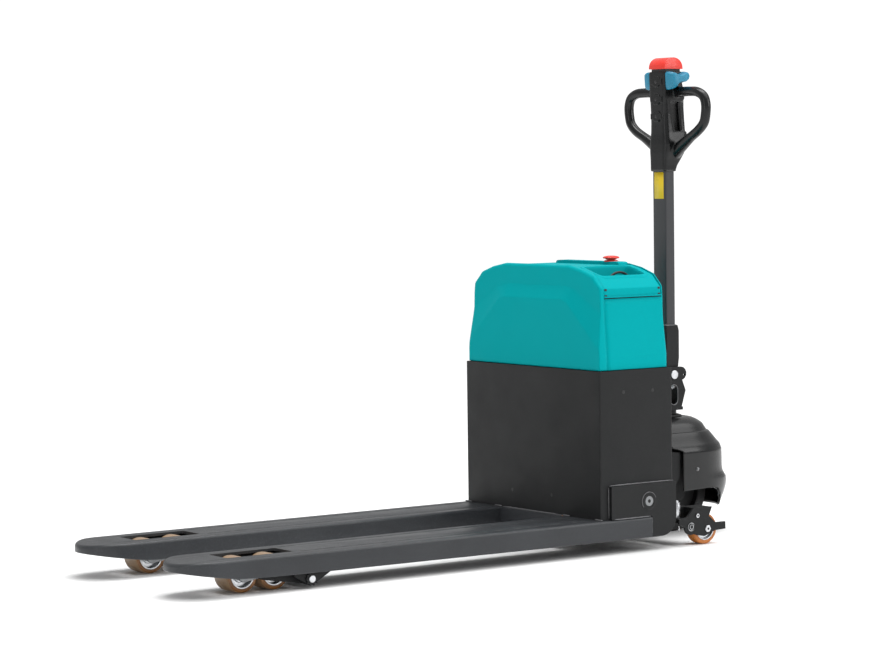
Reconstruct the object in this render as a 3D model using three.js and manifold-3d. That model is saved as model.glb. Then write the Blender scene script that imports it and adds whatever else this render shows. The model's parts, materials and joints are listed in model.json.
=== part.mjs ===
// Electric walkie pallet truck: two forks on tandem load wheels, a battery box with a moulded cover,
// a steered drive wheel under a fixed motor cover, two castors and an upright tiller.
// Millimetres, +Z up. Inside the model group X runs from the fork tips towards the tiller with x = 0 at
// the front plane of the battery box, y = 0 on the centre line and z = 0 on the floor. The left side is
// -Y, as seen by a driver at the tiller who looks towards the fork tips.

import * as THREE from "three";
import { mergeVertices } from "three/addons/utils/BufferGeometryUtils.js";
import Module from "manifold-3d";

const wasm = await Module();
wasm.setup();

// ---------------------------------------------------------------- driving dimensions

const GAP = 0.3; // left between pieces that touch
const ROUND = 14; // sides of a round piece
const WHEEL_SIDES = 20;

const FORK = { tip: -1150, heel: 150, centre: 200.5, half: 80, top: 83, wall: 6, openTop: 10 };
const BOX = { front: 0, rear: 224, half: 268.5, bottom: 83.3, top: 439, sheet: 3, floor: 180 };
const COVER = { bottom: 440.3, top: 692, crown: 689, wall: 4, seam: 28, lidRear: 205 };
const ROCKER = { x: 141, z: 121, lever: 57, rearArm: 143.6, swing: 23.6 * Math.PI / 180, armY: 100 };
const ARM = { x: -823, z: 22, lever: 42, swing: 32.85 * Math.PI / 180 };
const BOGIE = { x: -937.5, z: 40, spacing: 83 };
const LOAD_WHEEL = { r: 40, half: 31, rim: 30, bore: 10.6, axle: 10 };
const RAM = { x: 273, barrel: 21, bore: 15.6, rod: 14 };
const DRIVE = { x: 427, z: 105, r: 105, half: 35, rim: 80, bore: 13, axle: 12 };
const CASTOR = { x: 326, z: 38, r: 38, y: 254, half: 15, rim: 28, bore: 7, axle: 6.4 };
const TILLER = { x: 427, pinX: 423, pinZ: 398, halfX: 15, halfY: 25, foot: 522, neck: 911 };
const HEAD = { front: 406, half: 31, top: 1160.5, capBottom: 1166.5, capTop: 1196, capHalf: 31.2, bar: 12.5 };
const THROTTLE = { x: 437, z: 1143 };
const BUTTONS = [1135, 1091, 1048];
const FLOOR_SHIFT = 282.5; // moves the origin under the middle of the bounding box
const HEEL = { front: -9, half: 120.2, bottom: 46 };
const STOP = { x: 193, y: -77, hole: 9, stem: 8.2, r: 20.5 };
const POCKET = { x0: 47, x1: 186, y0: -220, y1: -146, floor: 634, wall: 3 };
const CONSOLE = { front: 178, rear: 230, half: 128, bottom: 660, wall: 6, under: 684 };
const LEAD = { middle: 135, reach: 34, rise: 27, r: 3, y: -180, gland: 6, glandTop: 6.5 };
const HEAD_FRAME = { cheekIn: 114.5, cheekOut: 122, plateBottom: 226, plateTop: 238, bore: 52 };
const JAW_PIN = { r: 8, in: 84, out: 116 };
const YOKE = { in: 32.5, out: 40, pinHole: 9.4 };

// Side view of the cover: its front edge and its rear edge, in x and z.
const COVER_FRONT = [[5, 472], [12.5, 558], [16, 634], [17, 700]];
const COVER_REAR = [[207, 700], [208.5, 634], [212, 558], [219, 472]];

// Motor cover: height, reach behind the kingpin and half width of each ring. Above topFrom it reaches
// further forward.
const MOTOR_COVER = { front: 376, topFront: 340, topFrom: 220, sides: 12, wall: 4 };
const MOTOR_COVER_RINGS = [[60, 132, 116], [100, 150, 130], [129, 158, 130], [148, 146, 130],
  [162, 140, 130], [209, 138, 130], [231, 126, 120], [256, 101, 101], [280, 84, 80], [292, 62, 54]];

// Centre line of a handle loop: x, distance from the middle and z.
const GRIP_LINE = [[449, 20, 1110], [447, 50, 1110], [443, 90, 1109], [440, 118, 1107], [440, 141, 1096],
  [440, 150, 1076], [440, 149, 1052], [440, 142, 1030], [440, 120, 1011], [442, 86, 993], [444, 53, 974],
  [445, 22, 952]];

const COLOURS = {
  steel: { color: 0x35373a, roughness: 0.62, metalness: 0.35 },
  cover: { color: 0x009ca0, roughness: 0.42, metalness: 0 },
  gloss: { color: 0x2a2c2e, roughness: 0.3, metalness: 0 },
  tiller: { color: 0x303235, roughness: 0.45, metalness: 0.2 },
  red: { color: 0xe8503f, roughness: 0.4, metalness: 0 },
  wing: { color: 0x1f86a6, roughness: 0.4, metalness: 0 },
  black: { color: 0x141414, roughness: 0.5, metalness: 0 },
  zinc: { color: 0xb8bcc0, roughness: 0.3, metalness: 0.9 },
  amber: { color: 0xb06a20, roughness: 0.35, metalness: 0 },
  tread: { color: 0x232325, roughness: 0.7, metalness: 0 },
  battery: { color: 0x5a5f66, roughness: 0.5, metalness: 0 },
};

// ---------------------------------------------------------------- solids and booleans

// Turns a closed geometry into a solid: shared corners merged, faces out.
function solid(geometry) {
  const plain = geometry.clone();
  plain.deleteAttribute("normal");
  plain.deleteAttribute("uv");
  const merged = mergeVertices(plain, 1e-4);
  const index = merged.index.array;
  const triangles = [];
  for (let i = 0; i < index.length; i += 3) {
    const [a, b, c] = [index[i], index[i + 1], index[i + 2]];
    if (a !== b && b !== c && c !== a) triangles.push(a, b, c);
  }
  const vertProperties = new Float32Array(merged.attributes.position.array);
  const build = (list) => new wasm.Manifold(
    new wasm.Mesh({ numProp: 3, vertProperties, triVerts: new Uint32Array(list) }));
  const result = build(triangles);
  return result.volume() > 0 ? result : build(triangles.toReversed());
}

const join = (first, ...others) => others.reduce((sum, part) => sum.add(part), first);
const cut = (first, ...others) => others.reduce((rest, part) => rest.subtract(part), first);

function box(x0, x1, y0, y1, z0, z1) {
  const geometry = new THREE.BoxGeometry(x1 - x0, y1 - y0, z1 - z0);
  return solid(geometry.translate((x0 + x1) / 2, (y0 + y1) / 2, (z0 + z1) / 2));
}

// A shape drawn in x and y, raised from z0 to z1.
function plateXY(shape, z0, z1, curveSegments = 3) {
  const geometry = new THREE.ExtrudeGeometry(shape, { depth: z1 - z0, bevelEnabled: false, curveSegments });
  return solid(geometry.translate(0, 0, z0));
}

// A shape drawn in x and z, running from y0 to y1.
function plateXZ(shape, y0, y1, curveSegments = 3) {
  const geometry = new THREE.ExtrudeGeometry(shape, { depth: y1 - y0, bevelEnabled: false, curveSegments });
  return solid(geometry.rotateX(Math.PI / 2).translate(0, y1, 0));
}

// A shape drawn in y and z, running from x0 to x1.
function plateYZ(shape, x0, x1, curveSegments = 3) {
  const geometry = new THREE.ExtrudeGeometry(shape, { depth: x1 - x0, bevelEnabled: false, curveSegments });
  const turn = new THREE.Matrix4().makeBasis(
    new THREE.Vector3(0, 1, 0), new THREE.Vector3(0, 0, 1), new THREE.Vector3(1, 0, 0));
  return solid(geometry.applyMatrix4(turn).translate(x0, 0, 0));
}

function rodX(y, z, r, x0, x1, sides = ROUND) {
  const geometry = new THREE.CylinderGeometry(r, r, x1 - x0, sides).rotateZ(Math.PI / 2);
  return solid(geometry.translate((x0 + x1) / 2, y, z));
}

function rodY(x, z, r, y0, y1, sides = ROUND) {
  const geometry = new THREE.CylinderGeometry(r, r, y1 - y0, sides);
  return solid(geometry.translate(x, (y0 + y1) / 2, z));
}

function rodZ(x, y, r, z0, z1, sides = ROUND) {
  const geometry = new THREE.CylinderGeometry(r, r, z1 - z0, sides).rotateX(Math.PI / 2);
  return solid(geometry.translate(x, y, (z0 + z1) / 2));
}

// A ring turned about Y; profile holds [radius, y] corners in order.
function turnedY(x, y, z, profile, sides = ROUND) {
  const points = [...profile, profile[0]].map(([r, h]) => new THREE.Vector2(r, h));
  return solid(new THREE.LatheGeometry(points, sides).translate(x, y, z));
}

// A body turned about Z; profile holds [radius, z] corners from the lower pole to the upper one.
function turnedZ(x, y, profile, sides = ROUND) {
  const points = profile.map(([r, h]) => new THREE.Vector2(r, h));
  return solid(new THREE.LatheGeometry(points, sides).rotateX(Math.PI / 2).translate(x, y, 0));
}

// Stacks outlines of equal point count into one closed solid.
function loft(rings) {
  const count = rings[0].length;
  const positions = rings.flat(2);
  const index = [];
  for (let k = 0; k + 1 < rings.length; k += 1) {
    for (let i = 0; i < count; i += 1) {
      const [a, b] = [k * count + i, k * count + (i + 1) % count];
      index.push(a, b, b + count, a, b + count, a + count);
    }
  }
  for (let i = 1; i + 1 < count; i += 1) {
    index.push(0, i + 1, i);
    const last = (rings.length - 1) * count;
    index.push(last, last + i, last + i + 1);
  }
  const geometry = new THREE.BufferGeometry();
  geometry.setAttribute("position", new THREE.Float32BufferAttribute(positions, 3));
  geometry.setIndex(index);
  return solid(geometry);
}

function polygon(points) {
  return new THREE.Shape(points.map(([a, b]) => new THREE.Vector2(a, b)));
}

// A flat bar between two points with round ends.
function barShape(ax, az, bx, bz, ra, rb) {
  const angle = Math.atan2(bz - az, bx - ax);
  const shape = new THREE.Shape();
  shape.absarc(ax, az, ra, angle + Math.PI / 2, angle + Math.PI * 1.5, false);
  shape.absarc(bx, bz, rb, angle - Math.PI / 2, angle + Math.PI / 2, false);
  shape.closePath();
  return shape;
}

// An upright slot (half width w, between z0 and z1 at its ends' centres).
function slotShape(x, z0, z1, w) {
  const shape = new THREE.Shape();
  shape.absarc(x, z0, w, Math.PI, Math.PI * 2, false);
  shape.absarc(x, z1, w, 0, Math.PI, false);
  shape.closePath();
  return shape;
}

// ---------------------------------------------------------------- the scene graph

const truck = new THREE.Group();
const model = new THREE.Group();
model.position.x = FLOOR_SHIFT;
truck.add(model);

function place(name, shape, finish) {
  const { vertProperties, triVerts, numProp } = shape.getMesh();
  const geometry = new THREE.BufferGeometry();
  const position = new Float32Array((vertProperties.length / numProp) * 3);
  for (let i = 0; i < position.length / 3; i += 1) {
    position.set(vertProperties.subarray(i * numProp, i * numProp + 3), i * 3);
  }
  geometry.setAttribute("position", new THREE.BufferAttribute(position, 3));
  geometry.setIndex(new THREE.BufferAttribute(new Uint32Array(triVerts), 1));
  geometry.computeVertexNormals();
  const mesh = new THREE.Mesh(geometry, new THREE.MeshStandardMaterial(COLOURS[finish]));
  mesh.name = name;
  model.add(mesh);
}

const SIDES = [["left", -1], ["right", 1]];
const span = (side, a, b) => (side > 0 ? [a, b] : [-b, -a]); // a stretch of |y| on one side

// ---------------------------------------------------------------- forks

// Seen from above: straight, with a half-round tip.
function forkPlan(centre, half, heel) {
  const nose = FORK.tip + FORK.half;
  const shape = new THREE.Shape();
  shape.moveTo(heel, centre - half);
  shape.lineTo(heel, centre + half);
  shape.lineTo(nose, centre + half);
  shape.absarc(nose, centre, half, Math.PI / 2, Math.PI * 1.5, false);
  shape.closePath();
  return shape;
}

function fork(side) {
  const y = side * FORK.centre;
  const sideView = polygon([[FORK.heel, 33], [FORK.heel, FORK.top], [-1112, FORK.top], [FORK.tip, 78],
    [FORK.tip, 61], [-1010, 38.5], [-860, 36.5], [0, 33]]);
  const outer = plateXY(forkPlan(y, FORK.half, FORK.heel), 0, 100, 8)
    .intersect(plateXZ(sideView, y - FORK.half - 1, y + FORK.half + 1));
  const inside = FORK.half - FORK.wall;
  const channel = plateXY(forkPlan(y, inside, FORK.heel + 5), -1, FORK.top - FORK.wall, 6);
  const heelOpening = box(FORK.openTop, FORK.heel + 5, y - inside, y + inside, 60, FORK.top + 5);
  const wheelWindow = box(-1024, -852, y - 38, y + 38, 60, FORK.top + 5);
  const grooves = [-46, 46].map((offset) => box(-840, -30, y + offset - 5, y + offset + 5,
    FORK.top - 1.5, FORK.top + 5));
  return cut(outer, channel, heelOpening, wheelWindow, ...grooves);
}

// V-shaped cheeks welded under the fork with the fixed pin that the load arm swings on.
function armBracket(side) {
  const y = side * FORK.centre;
  const vee = new THREE.Shape();
  vee.moveTo(-866, 72);
  vee.lineTo(-866, 30);
  vee.lineTo(-834, 12);
  vee.absarc(ARM.x, ARM.z, 15, Math.PI * 1.25, Math.PI * 1.72, false);
  vee.lineTo(-768, 36);
  vee.lineTo(-768, 72);
  vee.closePath();
  const cheeks = [1, -1].map((s) => plateXZ(vee, ...span(s, 59, 67)).translate(0, y, 0));
  const collars = [1, -1].map((s) => rodY(ARM.x, ARM.z, 12, ...span(s, 66, 70)).translate(0, y, 0));
  const pin = rodY(ARM.x, ARM.z, 8, y - 72, y + 72);
  return join(pin, ...cheeks, ...collars);
}

// Load arm: two cheeks to the bogie and two short lever plates for the push rod, on one hub tube.
function loadArm(side) {
  const y = side * FORK.centre;
  const leverX = ARM.x + ARM.lever * Math.sin(ARM.swing);
  const leverZ = ARM.z + ARM.lever * Math.cos(ARM.swing);
  const hub = rodY(ARM.x, ARM.z, 14, y - 56, y + 56);
  const cheek = barShape(ARM.x, ARM.z, BOGIE.x, BOGIE.z, 13, 12);
  const lever = barShape(ARM.x, ARM.z, leverX, leverZ, 13, 10);
  const cheeks = [1, -1].map((s) => plateXZ(cheek, ...span(s, 40, 48)).translate(0, y, 0));
  const levers = [1, -1].map((s) => plateXZ(lever, ...span(s, 9, 16)).translate(0, y, 0));
  const rodPin = rodY(leverX, leverZ, 5.9, y - 15, y + 15, 16);
  const bolt = rodY(BOGIE.x, BOGIE.z, 7, ...span(side, FORK.centre + 47, FORK.centre + 52), 12);
  const bore = rodY(ARM.x, ARM.z, 8.6, y - 60, y + 60);
  const bogieBore = rodY(BOGIE.x, BOGIE.z, 8.6, y - 45.5, y + 45.5);
  return cut(join(hub, ...cheeks, ...levers, rodPin, bolt), bore, bogieBore);
}

// Bogie: two wavy link plates, a stub pin outside each for the arm's cheeks and an axle for each wheel.
function bogie(side) {
  const y = side * FORK.centre;
  const reach = BOGIE.spacing / 2;
  const wave = new THREE.Shape();
  wave.absarc(BOGIE.x - reach, BOGIE.z, 15, Math.PI / 2, Math.PI * 1.6, false);
  wave.lineTo(BOGIE.x - 10, BOGIE.z - 10);
  wave.lineTo(BOGIE.x + 10, BOGIE.z - 10);
  wave.absarc(BOGIE.x + reach, BOGIE.z, 15, Math.PI * 1.4, Math.PI * 2.5, false);
  wave.lineTo(BOGIE.x + 12, BOGIE.z + 12);
  wave.lineTo(BOGIE.x - 12, BOGIE.z + 12);
  wave.closePath();
  const plates = [1, -1].map((s) => plateXZ(wave, ...span(s, 32.5, 38.5)).translate(0, y, 0));
  const pins = [-1, 1].map((s) => rodY(BOGIE.x, BOGIE.z, 8, ...span(s, 38, 45)).translate(0, y, 0));
  const axles = [-1, 1].map((s) => rodY(BOGIE.x + s * reach, BOGIE.z, LOAD_WHEEL.axle, y - 38, y + 38));
  return join(axles[0], ...plates, axles[1], ...pins);
}

function wheelTyre(x, y, z, wheel) {
  const shoulder = wheel.half - 5;
  return turnedY(x, y, z, [[wheel.rim + GAP, -wheel.half], [wheel.r - 3, -wheel.half], [wheel.r, -shoulder],
    [wheel.r, shoulder], [wheel.r - 3, wheel.half], [wheel.rim + GAP, wheel.half]], WHEEL_SIDES);
}

function wheelHub(x, y, z, wheel) {
  const web = wheel.half * 0.6;
  return turnedY(x, y, z, [[wheel.bore, -web], [wheel.rim - 4, -web], [wheel.rim - 3, -wheel.half],
    [wheel.rim, -wheel.half], [wheel.rim, wheel.half], [wheel.rim - 3, wheel.half],
    [wheel.rim - 4, web], [wheel.bore, web]], WHEEL_SIDES);
}

// Push rod: a flat bar in the fork channel with an upright slot at each end.
function pushRod(side) {
  const y = side * FORK.centre;
  const armX = ARM.x + ARM.lever * Math.sin(ARM.swing);
  const armZ = ARM.z + ARM.lever * Math.cos(ARM.swing);
  const rockX = ROCKER.x + ROCKER.lever * Math.sin(ROCKER.swing);
  const rockZ = ROCKER.z - ROCKER.lever * Math.cos(ROCKER.swing);
  const armRise = ARM.lever * (1 - Math.cos(ARM.swing));
  const rockDrop = ROCKER.lever * (1 - Math.cos(ROCKER.swing));
  const bar = plateXZ(barShape(armX, armZ + 4, rockX, rockZ - 2, 7, 7), y - 6, y + 6);
  const armEye = plateXZ(slotShape(armX, armZ, armZ + armRise, 9.8), y - 6, y + 6);
  const rockEye = plateXZ(slotShape(rockX, rockZ - rockDrop, rockZ, 9.8), y - 6, y + 6);
  const armSlot = plateXZ(slotShape(armX, armZ, armZ + armRise, 6.8), y - 7, y + 7);
  const rockSlot = plateXZ(slotShape(rockX, rockZ - rockDrop, rockZ, 6.8), y - 7, y + 7);
  return cut(join(bar, armEye, rockEye), armSlot, rockSlot);
}

for (const [name, side] of SIDES) {
  const y = side * FORK.centre;
  place(`fork_${name}`, fork(side), "steel");
  place(`load_arm_bracket_${name}`, armBracket(side), "steel");
  place(`load_arm_${name}`, loadArm(side), "steel");
  place(`bogie_${name}`, bogie(side), "zinc");
  for (const [end, direction] of [["front", -1], ["rear", 1]]) {
    const x = BOGIE.x + direction * BOGIE.spacing / 2;
    place(`load_tyre_${name}_${end}`, wheelTyre(x, y, BOGIE.z, LOAD_WHEEL), "amber");
    place(`load_hub_${name}_${end}`, wheelHub(x, y, BOGIE.z, LOAD_WHEEL), "zinc");
  }
  place(`push_rod_${name}`, pushRod(side), "zinc");
}

// ---------------------------------------------------------------- battery box and rocker

function batteryBox() {
  const { front, rear, half, bottom, top, sheet, floor } = BOX;
  const outer = box(front, rear, -half, half, bottom, top);
  const tray = box(front + sheet, rear - sheet, -half + sheet, half - sheet, floor + sheet, top + 5);
  const skirt = box(front + sheet, rear - sheet, -half + sheet, half - sheet, bottom - 5, floor);
  const rearNotch = box(rear - 5, rear + 5, -130, 130, bottom - 5, floor);
  const sideHoles = [73, 163].map((x) => rodY(x, 387, 4, -half - 5, -half + 5, 10));
  const frontHoles = [-79, 79].map((y) => rodX(y, 129, 4, -5, 5, 10));
  const shaft = rodY(ROCKER.x, ROCKER.z, 13.5, -half - 5, half + 5);
  return cut(outer, tray, skirt, rearNotch, ...sideHoles, ...frontHoles, shaft);
}

// Thick plate on the box side that carries the rocker shaft, with a ring boss round its hole.
function sidePlate(side) {
  const shape = new THREE.Shape();
  shape.moveTo(26, 163);
  shape.lineTo(26, 83.6);
  shape.lineTo(FORK.heel + 0.6, 83.6);
  shape.lineTo(FORK.heel + 0.6, 33);
  shape.lineTo(181, 33);
  shape.absarc(181, 78, 45, -Math.PI / 2, 0, false);
  shape.lineTo(226, 163);
  shape.closePath();
  const plate = plateXZ(shape, ...span(side, BOX.half + GAP, 279));
  const boss = rodY(ROCKER.x, ROCKER.z, 21.5, ...span(side, 278, 279.4));
  return cut(join(plate, boss), rodY(ROCKER.x, ROCKER.z, 13.5, ...span(side, 260, 285)));
}

// Rocker: cross tube, four lever plates down to the push rods and two jaws back to the drive head.
function rocker() {
  const { x, z, lever, rearArm, swing, armY } = ROCKER;
  const leverX = x + lever * Math.sin(swing);
  const leverZ = z - lever * Math.cos(swing);
  const jawX = x + rearArm * Math.cos(swing);
  const jawZ = z + rearArm * Math.sin(swing);
  const tube = rodY(x, z, 17, -255, 255);
  const journals = rodY(x, z, 12.8, -280, 280);
  const parts = [journals];
  for (const side of [-1, 1]) {
    const y = side * FORK.centre;
    for (const s of [-1, 1]) {
      parts.push(plateXZ(barShape(x, z, leverX, leverZ, 16, 10), ...span(s, 9, 16)).translate(0, y, 0));
    }
    parts.push(rodY(leverX, leverZ, 5.9, y - 15, y + 15, 16));
    const arm = plateXZ(barShape(x, z, jawX, jawZ, 17, 16), ...span(side, armY - 7, armY + 7));
    const mouth = barShape(x + 131.6 * Math.cos(swing), z + 131.6 * Math.sin(swing),
      x + 175 * Math.cos(swing), z + 175 * Math.sin(swing), 9.4, 9.4);
    parts.push(cut(arm, plateXZ(mouth, ...span(side, armY - 9, armY + 9))));
  }
  return join(tube, ...parts);
}

function liftRam() {
  const rod = rodZ(RAM.x, 0, RAM.rod, 190, 393);
  const head = box(BOX.rear + GAP, RAM.x + 24, -34, 34, 392, 410);
  const foot = box(BOX.rear + GAP, BOX.rear + 9, -34, 34, 345, 392);
  return join(rod, head, foot);
}

function batteryPack() {
  const caps = [-150, -50, 50, 150].map((y) => box(60, 160, y - 30, y + 30, 414, 424));
  return join(box(16, 206, -255, 255, 183.6, 415), ...caps);
}

place("battery_box", batteryBox(), "steel");
for (const [name, side] of SIDES) place(`side_plate_${name}`, sidePlate(side), "steel");
place("heel_plate", box(HEEL.front, -GAP, -HEEL.half, HEEL.half, HEEL.bottom, FORK.top), "steel");
place("rocker", rocker(), "steel");
place("lift_ram", liftRam(), "zinc");
place("battery_pack", batteryPack(), "battery");
place("controller", join(box(40, 170, -70, 90, 430, 470), box(60, 150, -50, 70, 469, 482)), "black");

// ---------------------------------------------------------------- moulded cover

// Cross section of the cover in y and z, symmetrical, with facetted shoulders; inset moves it inwards.
function coverSection(inset, crown) {
  const rightHalf = [[263.5, 400], [263.5, 472], [256, 558], [253, 634], [250, 640], [223, 666], [178, 680],
    [126, crown]];
  const moved = rightHalf.map(([y, z]) => [y - inset, z - (z > 560 ? inset : 0)]);
  return polygon([...moved, ...moved.toReversed().map(([y, z]) => [-y, z])]);
}

// Side view of the cover in x and z, moved inwards by inset.
function coverProfile(inset, z0) {
  const front = COVER_FRONT.map(([x, z]) => [x + inset, z]);
  const rear = COVER_REAR.map(([x, z]) => [x - inset, z]);
  return polygon([[5 + inset, z0], ...front, ...rear, [219 - inset, z0]]);
}

function coverBlock(inset, crown, z0) {
  return plateYZ(coverSection(inset, crown), -20, 240).intersect(plateXZ(coverProfile(inset, z0), -270, 270));
}

// Raised arch of the front panel: outer contour at the panel's face, inner contour at the front.
function archBlock(inset) {
  const half = 256 - inset;
  const innerContour = [[half, COVER.bottom - inset], [half, 495], [125, 607 - inset]];
  const outerContour = [[half, COVER.bottom - inset], [half, 578 - inset], [135, 638 - inset]];
  const contour = (corners, x) => [...corners, ...corners.toReversed().map(([y, z]) => [-y, z])]
    .map(([y, z]) => [x, y, z]);
  return loft([contour(innerContour, 5 + inset), contour(outerContour, 15.5 + inset),
    contour(outerContour, 20 + inset)]);
}

// Front panel: a shell with a raised arch whose upper edge is one long slope.
function frontPanel() {
  const outer = cut(join(coverBlock(0, COVER.crown, COVER.bottom), archBlock(0)),
    box(COVER.seam, 300, -300, 300, 0, 800));
  const inner = cut(join(coverBlock(COVER.wall, COVER.crown, 400), archBlock(COVER.wall)),
    box(COVER.seam + 5, 300, -300, 300, 0, 800));
  return cut(outer, inner);
}

// Rear shell: side walls, rear wall and the console that carries the stop button.
function coverShell() {
  const seam = COVER.seam + GAP;
  const outer = cut(coverBlock(0, COVER.top, COVER.bottom), box(-50, seam, -300, 300, 0, 800));
  const inner = cut(coverBlock(COVER.wall, COVER.top, 400), box(-50, seam - 5, -300, 300, 0, 800));
  const lidBay = box(0, COVER.lidRear + GAP, -300, 300, 636, 800);
  const flapBay = box(0, COVER.lidRear + GAP, -300, -200, 611, 800);
  const shell = cut(outer, inner, lidBay, flapBay);
  const { front, rear, half, bottom, wall, under } = CONSOLE;
  const consoleBody = coverBlock(1, COVER.top, 400).intersect(box(front, rear, -half, half, bottom, 800));
  const recess = box(front + wall, 202, wall - half, half - wall, 650, under);
  const buttonHole = rodZ(STOP.x, STOP.y, STOP.hole, 640, 700);
  return cut(join(shell, cut(consoleBody, recess)), buttonHole);
}

// Lid: a band over the top with a flap on the left and a storage pocket in the left shoulder.
function lid() {
  const crown = 684;
  const band = polygon([[-253.5, 612], [-252.5, 634], [-248, 638], [-222, 663], [-178, 677], [-146, crown],
    [146, crown], [178, 677], [222, 663], [248, 638.5], [253, 636.6], [249, 636.6], [220, 659], [177, 673],
    [145, crown - 4], [-145, crown - 4], [-177, 673], [-220, 659], [-244, 637], [-248.5, 634],
    [-249.5, 612]]);
  const sheet = plateYZ(band, COVER.seam + 2 * GAP, COVER.lidRear);
  const { x0, x1, y0, y1, floor, wall } = POCKET;
  const outline = polygon([[-250, 600], [-250, 636], [-222, 663], [-178, 677], [-146, crown], [146, crown],
    [146, 600]]);
  const tub = box(x0 - wall, x1 + wall, y0 - wall, y1 + wall, floor - wall, 700)
    .intersect(plateYZ(outline, 0, 240));
  const hollow = box(x0, x1, y0, y1, floor, 700);
  const consoleNotch = box(177.4, 240, -131, 131, 600, 700);
  return cut(join(sheet, tub), hollow, consoleNotch);
}

// Short lead that stands in an arc between two glands on the pocket floor.
function pocketLead() {
  const { middle, reach, rise, r, y } = LEAD;
  const start = POCKET.floor + 8 + GAP;
  const points = [];
  for (let i = 0; i <= 12; i += 1) {
    const angle = Math.PI * (i / 12);
    points.push(new THREE.Vector3(middle - reach * Math.cos(angle), y, start + rise * Math.sin(angle)));
  }
  const section = new THREE.Shape();
  section.absarc(0, 0, r, 0, Math.PI * 2, false);
  return solid(new THREE.ExtrudeGeometry(section, {
    steps: 20, bevelEnabled: false, curveSegments: 4, extrudePath: new THREE.CatmullRomCurve3(points) }));
}

function glandBlock() {
  const { middle, reach, y, gland, glandTop } = LEAD;
  const { floor } = POCKET;
  const ends = [middle - reach, middle + reach];
  const glands = ends.map((x) => rodZ(x, y, gland, floor + 3, floor + glandTop, 12));
  return join(box(middle - 47, middle + 47, y - 12, y + 12, floor + GAP, floor + 4), ...glands);
}

function stopButton() {
  return turnedZ(STOP.x, STOP.y, [[0, 672], [STOP.stem, 672], [STOP.stem, 696.5], [13.5, 697],
    [14, 698.5], [STOP.r, 700.5], [STOP.r, 702], [16, 704.5], [8, 706], [0, 706]], 24);
}

place("front_panel", frontPanel(), "cover");
place("cover_shell", coverShell(), "cover");
place("lid", lid(), "cover");
place("gland_block", glandBlock(), "black");
place("pocket_lead", pocketLead(), "black");
place("stop_button", stopButton(), "red");

// ---------------------------------------------------------------- drive head

// Welded head frame: cheeks, bearing plate over the drive wheel, cylinder seat and castor beams.
function headFrame() {
  const cheekView = polygon(
    [[240, 60], [300, 60], [372, 150], [372, 210], [336, 214], [334, 238], [240, 238]]);
  const parts = [];
  for (const side of [-1, 1]) {
    parts.push(plateXZ(cheekView, ...span(side, HEAD_FRAME.cheekIn, HEAD_FRAME.cheekOut)));
    parts.push(box(240, 300, ...span(side, 121, 226), 55, 92));
    parts.push(rodY(ROCKER.x + ROCKER.rearArm * Math.cos(ROCKER.swing),
      ROCKER.z + ROCKER.rearArm * Math.sin(ROCKER.swing), JAW_PIN.r, ...span(side, JAW_PIN.in, JAW_PIN.out)));
  }
  const plan = new THREE.Shape();
  plan.moveTo(DRIVE.x, -103);
  plan.absarc(DRIVE.x, 0, 103, -Math.PI / 2, Math.PI / 2, false);
  plan.lineTo(334, 103);
  plan.lineTo(334, 118);
  plan.lineTo(298, 118);
  plan.lineTo(298, -118);
  plan.lineTo(334, -118);
  plan.lineTo(334, -103);
  plan.closePath();
  const { plateBottom, plateTop, bore } = HEAD_FRAME;
  const bearingPlate = plateXY(plan, plateBottom, plateTop, 8);
  const seat = box(240, 306, -118, 118, 100, 112);
  const frontPlate = box(240, 250, -78, 78, 60, plateTop);
  const tieBars = box(249, 296, -50, -40, 60, plateTop).add(box(249, 296, 40, 50, 60, plateTop));
  const hole = rodZ(DRIVE.x, 0, bore, plateBottom - 6, plateTop + 7, 24);
  return cut(join(bearingPlate, seat, frontPlate, tieBars, ...parts), hole);
}

function liftCylinder() {
  const barrel = cut(rodZ(RAM.x, 0, RAM.barrel, 112 + GAP, 330), rodZ(RAM.x, 0, RAM.bore, 125, 335));
  const port = rodX(0, 150, 7, RAM.x + 12, RAM.x + 28, 12);
  return join(barrel, port);
}

function hydraulicUnit() {
  const block = box(296, 334, 30, 108, HEAD_FRAME.plateTop + GAP, 268);
  const motor = rodZ(315, 72, 18.5, 267, 346);
  const cap = rodZ(315, 72, 12, 345, 352);
  return join(block, motor, cap);
}

function oilTank() {
  const tank = box(296, 334, -108, -34, HEAD_FRAME.plateTop + GAP, 342);
  const filler = rodZ(315, -70, 11, 341, 354, 12);
  return join(tank, filler);
}

// Castor bracket: an outer plate and an inner plate over the wheel, joined across its top.
function castorBracket(side) {
  const plate = new THREE.Shape();
  plate.moveTo(237, 68);
  plate.lineTo(262, 71);
  plate.lineTo(283, 93);
  plate.lineTo(341, 92);
  plate.lineTo(331, 70);
  plate.lineTo(352, 52);
  plate.lineTo(384, 52);
  plate.lineTo(384, 34);
  plate.lineTo(352, 33);
  plate.lineTo(316, 21);
  plate.lineTo(290, 26);
  plate.absarc(274, 47, 20, -Math.PI / 3, -Math.PI, true);
  plate.lineTo(237, 56);
  plate.closePath();
  const outer = plateXZ(plate, ...span(side, 271.5, 277.5));
  const inner = plateXZ(polygon([[240, 58], [240, 92], [345, 92], [345, 52], [336, 26], [316, 26],
    [284, 58]]), ...span(side, 226.3, 236.5));
  const bridge = box(285, 338, ...span(side, 230, 274), 82, 92);
  const frontWeb = box(240, 262, ...span(side, 230, 274), 58, 68);
  const axle = rodY(CASTOR.x, CASTOR.z, CASTOR.axle, ...span(side, 230, 279.5));
  const bolts = [[294, 73, 6], [274, 47, 9]].map(([x, z, r]) => rodY(x, z, r, ...span(side, 276, 280), 12));
  return join(outer, inner, bridge, frontWeb, axle, ...bolts);
}

function springPost(side) {
  const y = side * 252;
  return join(rodZ(249, y, 9, 68 + GAP, 106, 16), rodZ(249, y, 5, 105, 111, 12));
}

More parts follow.
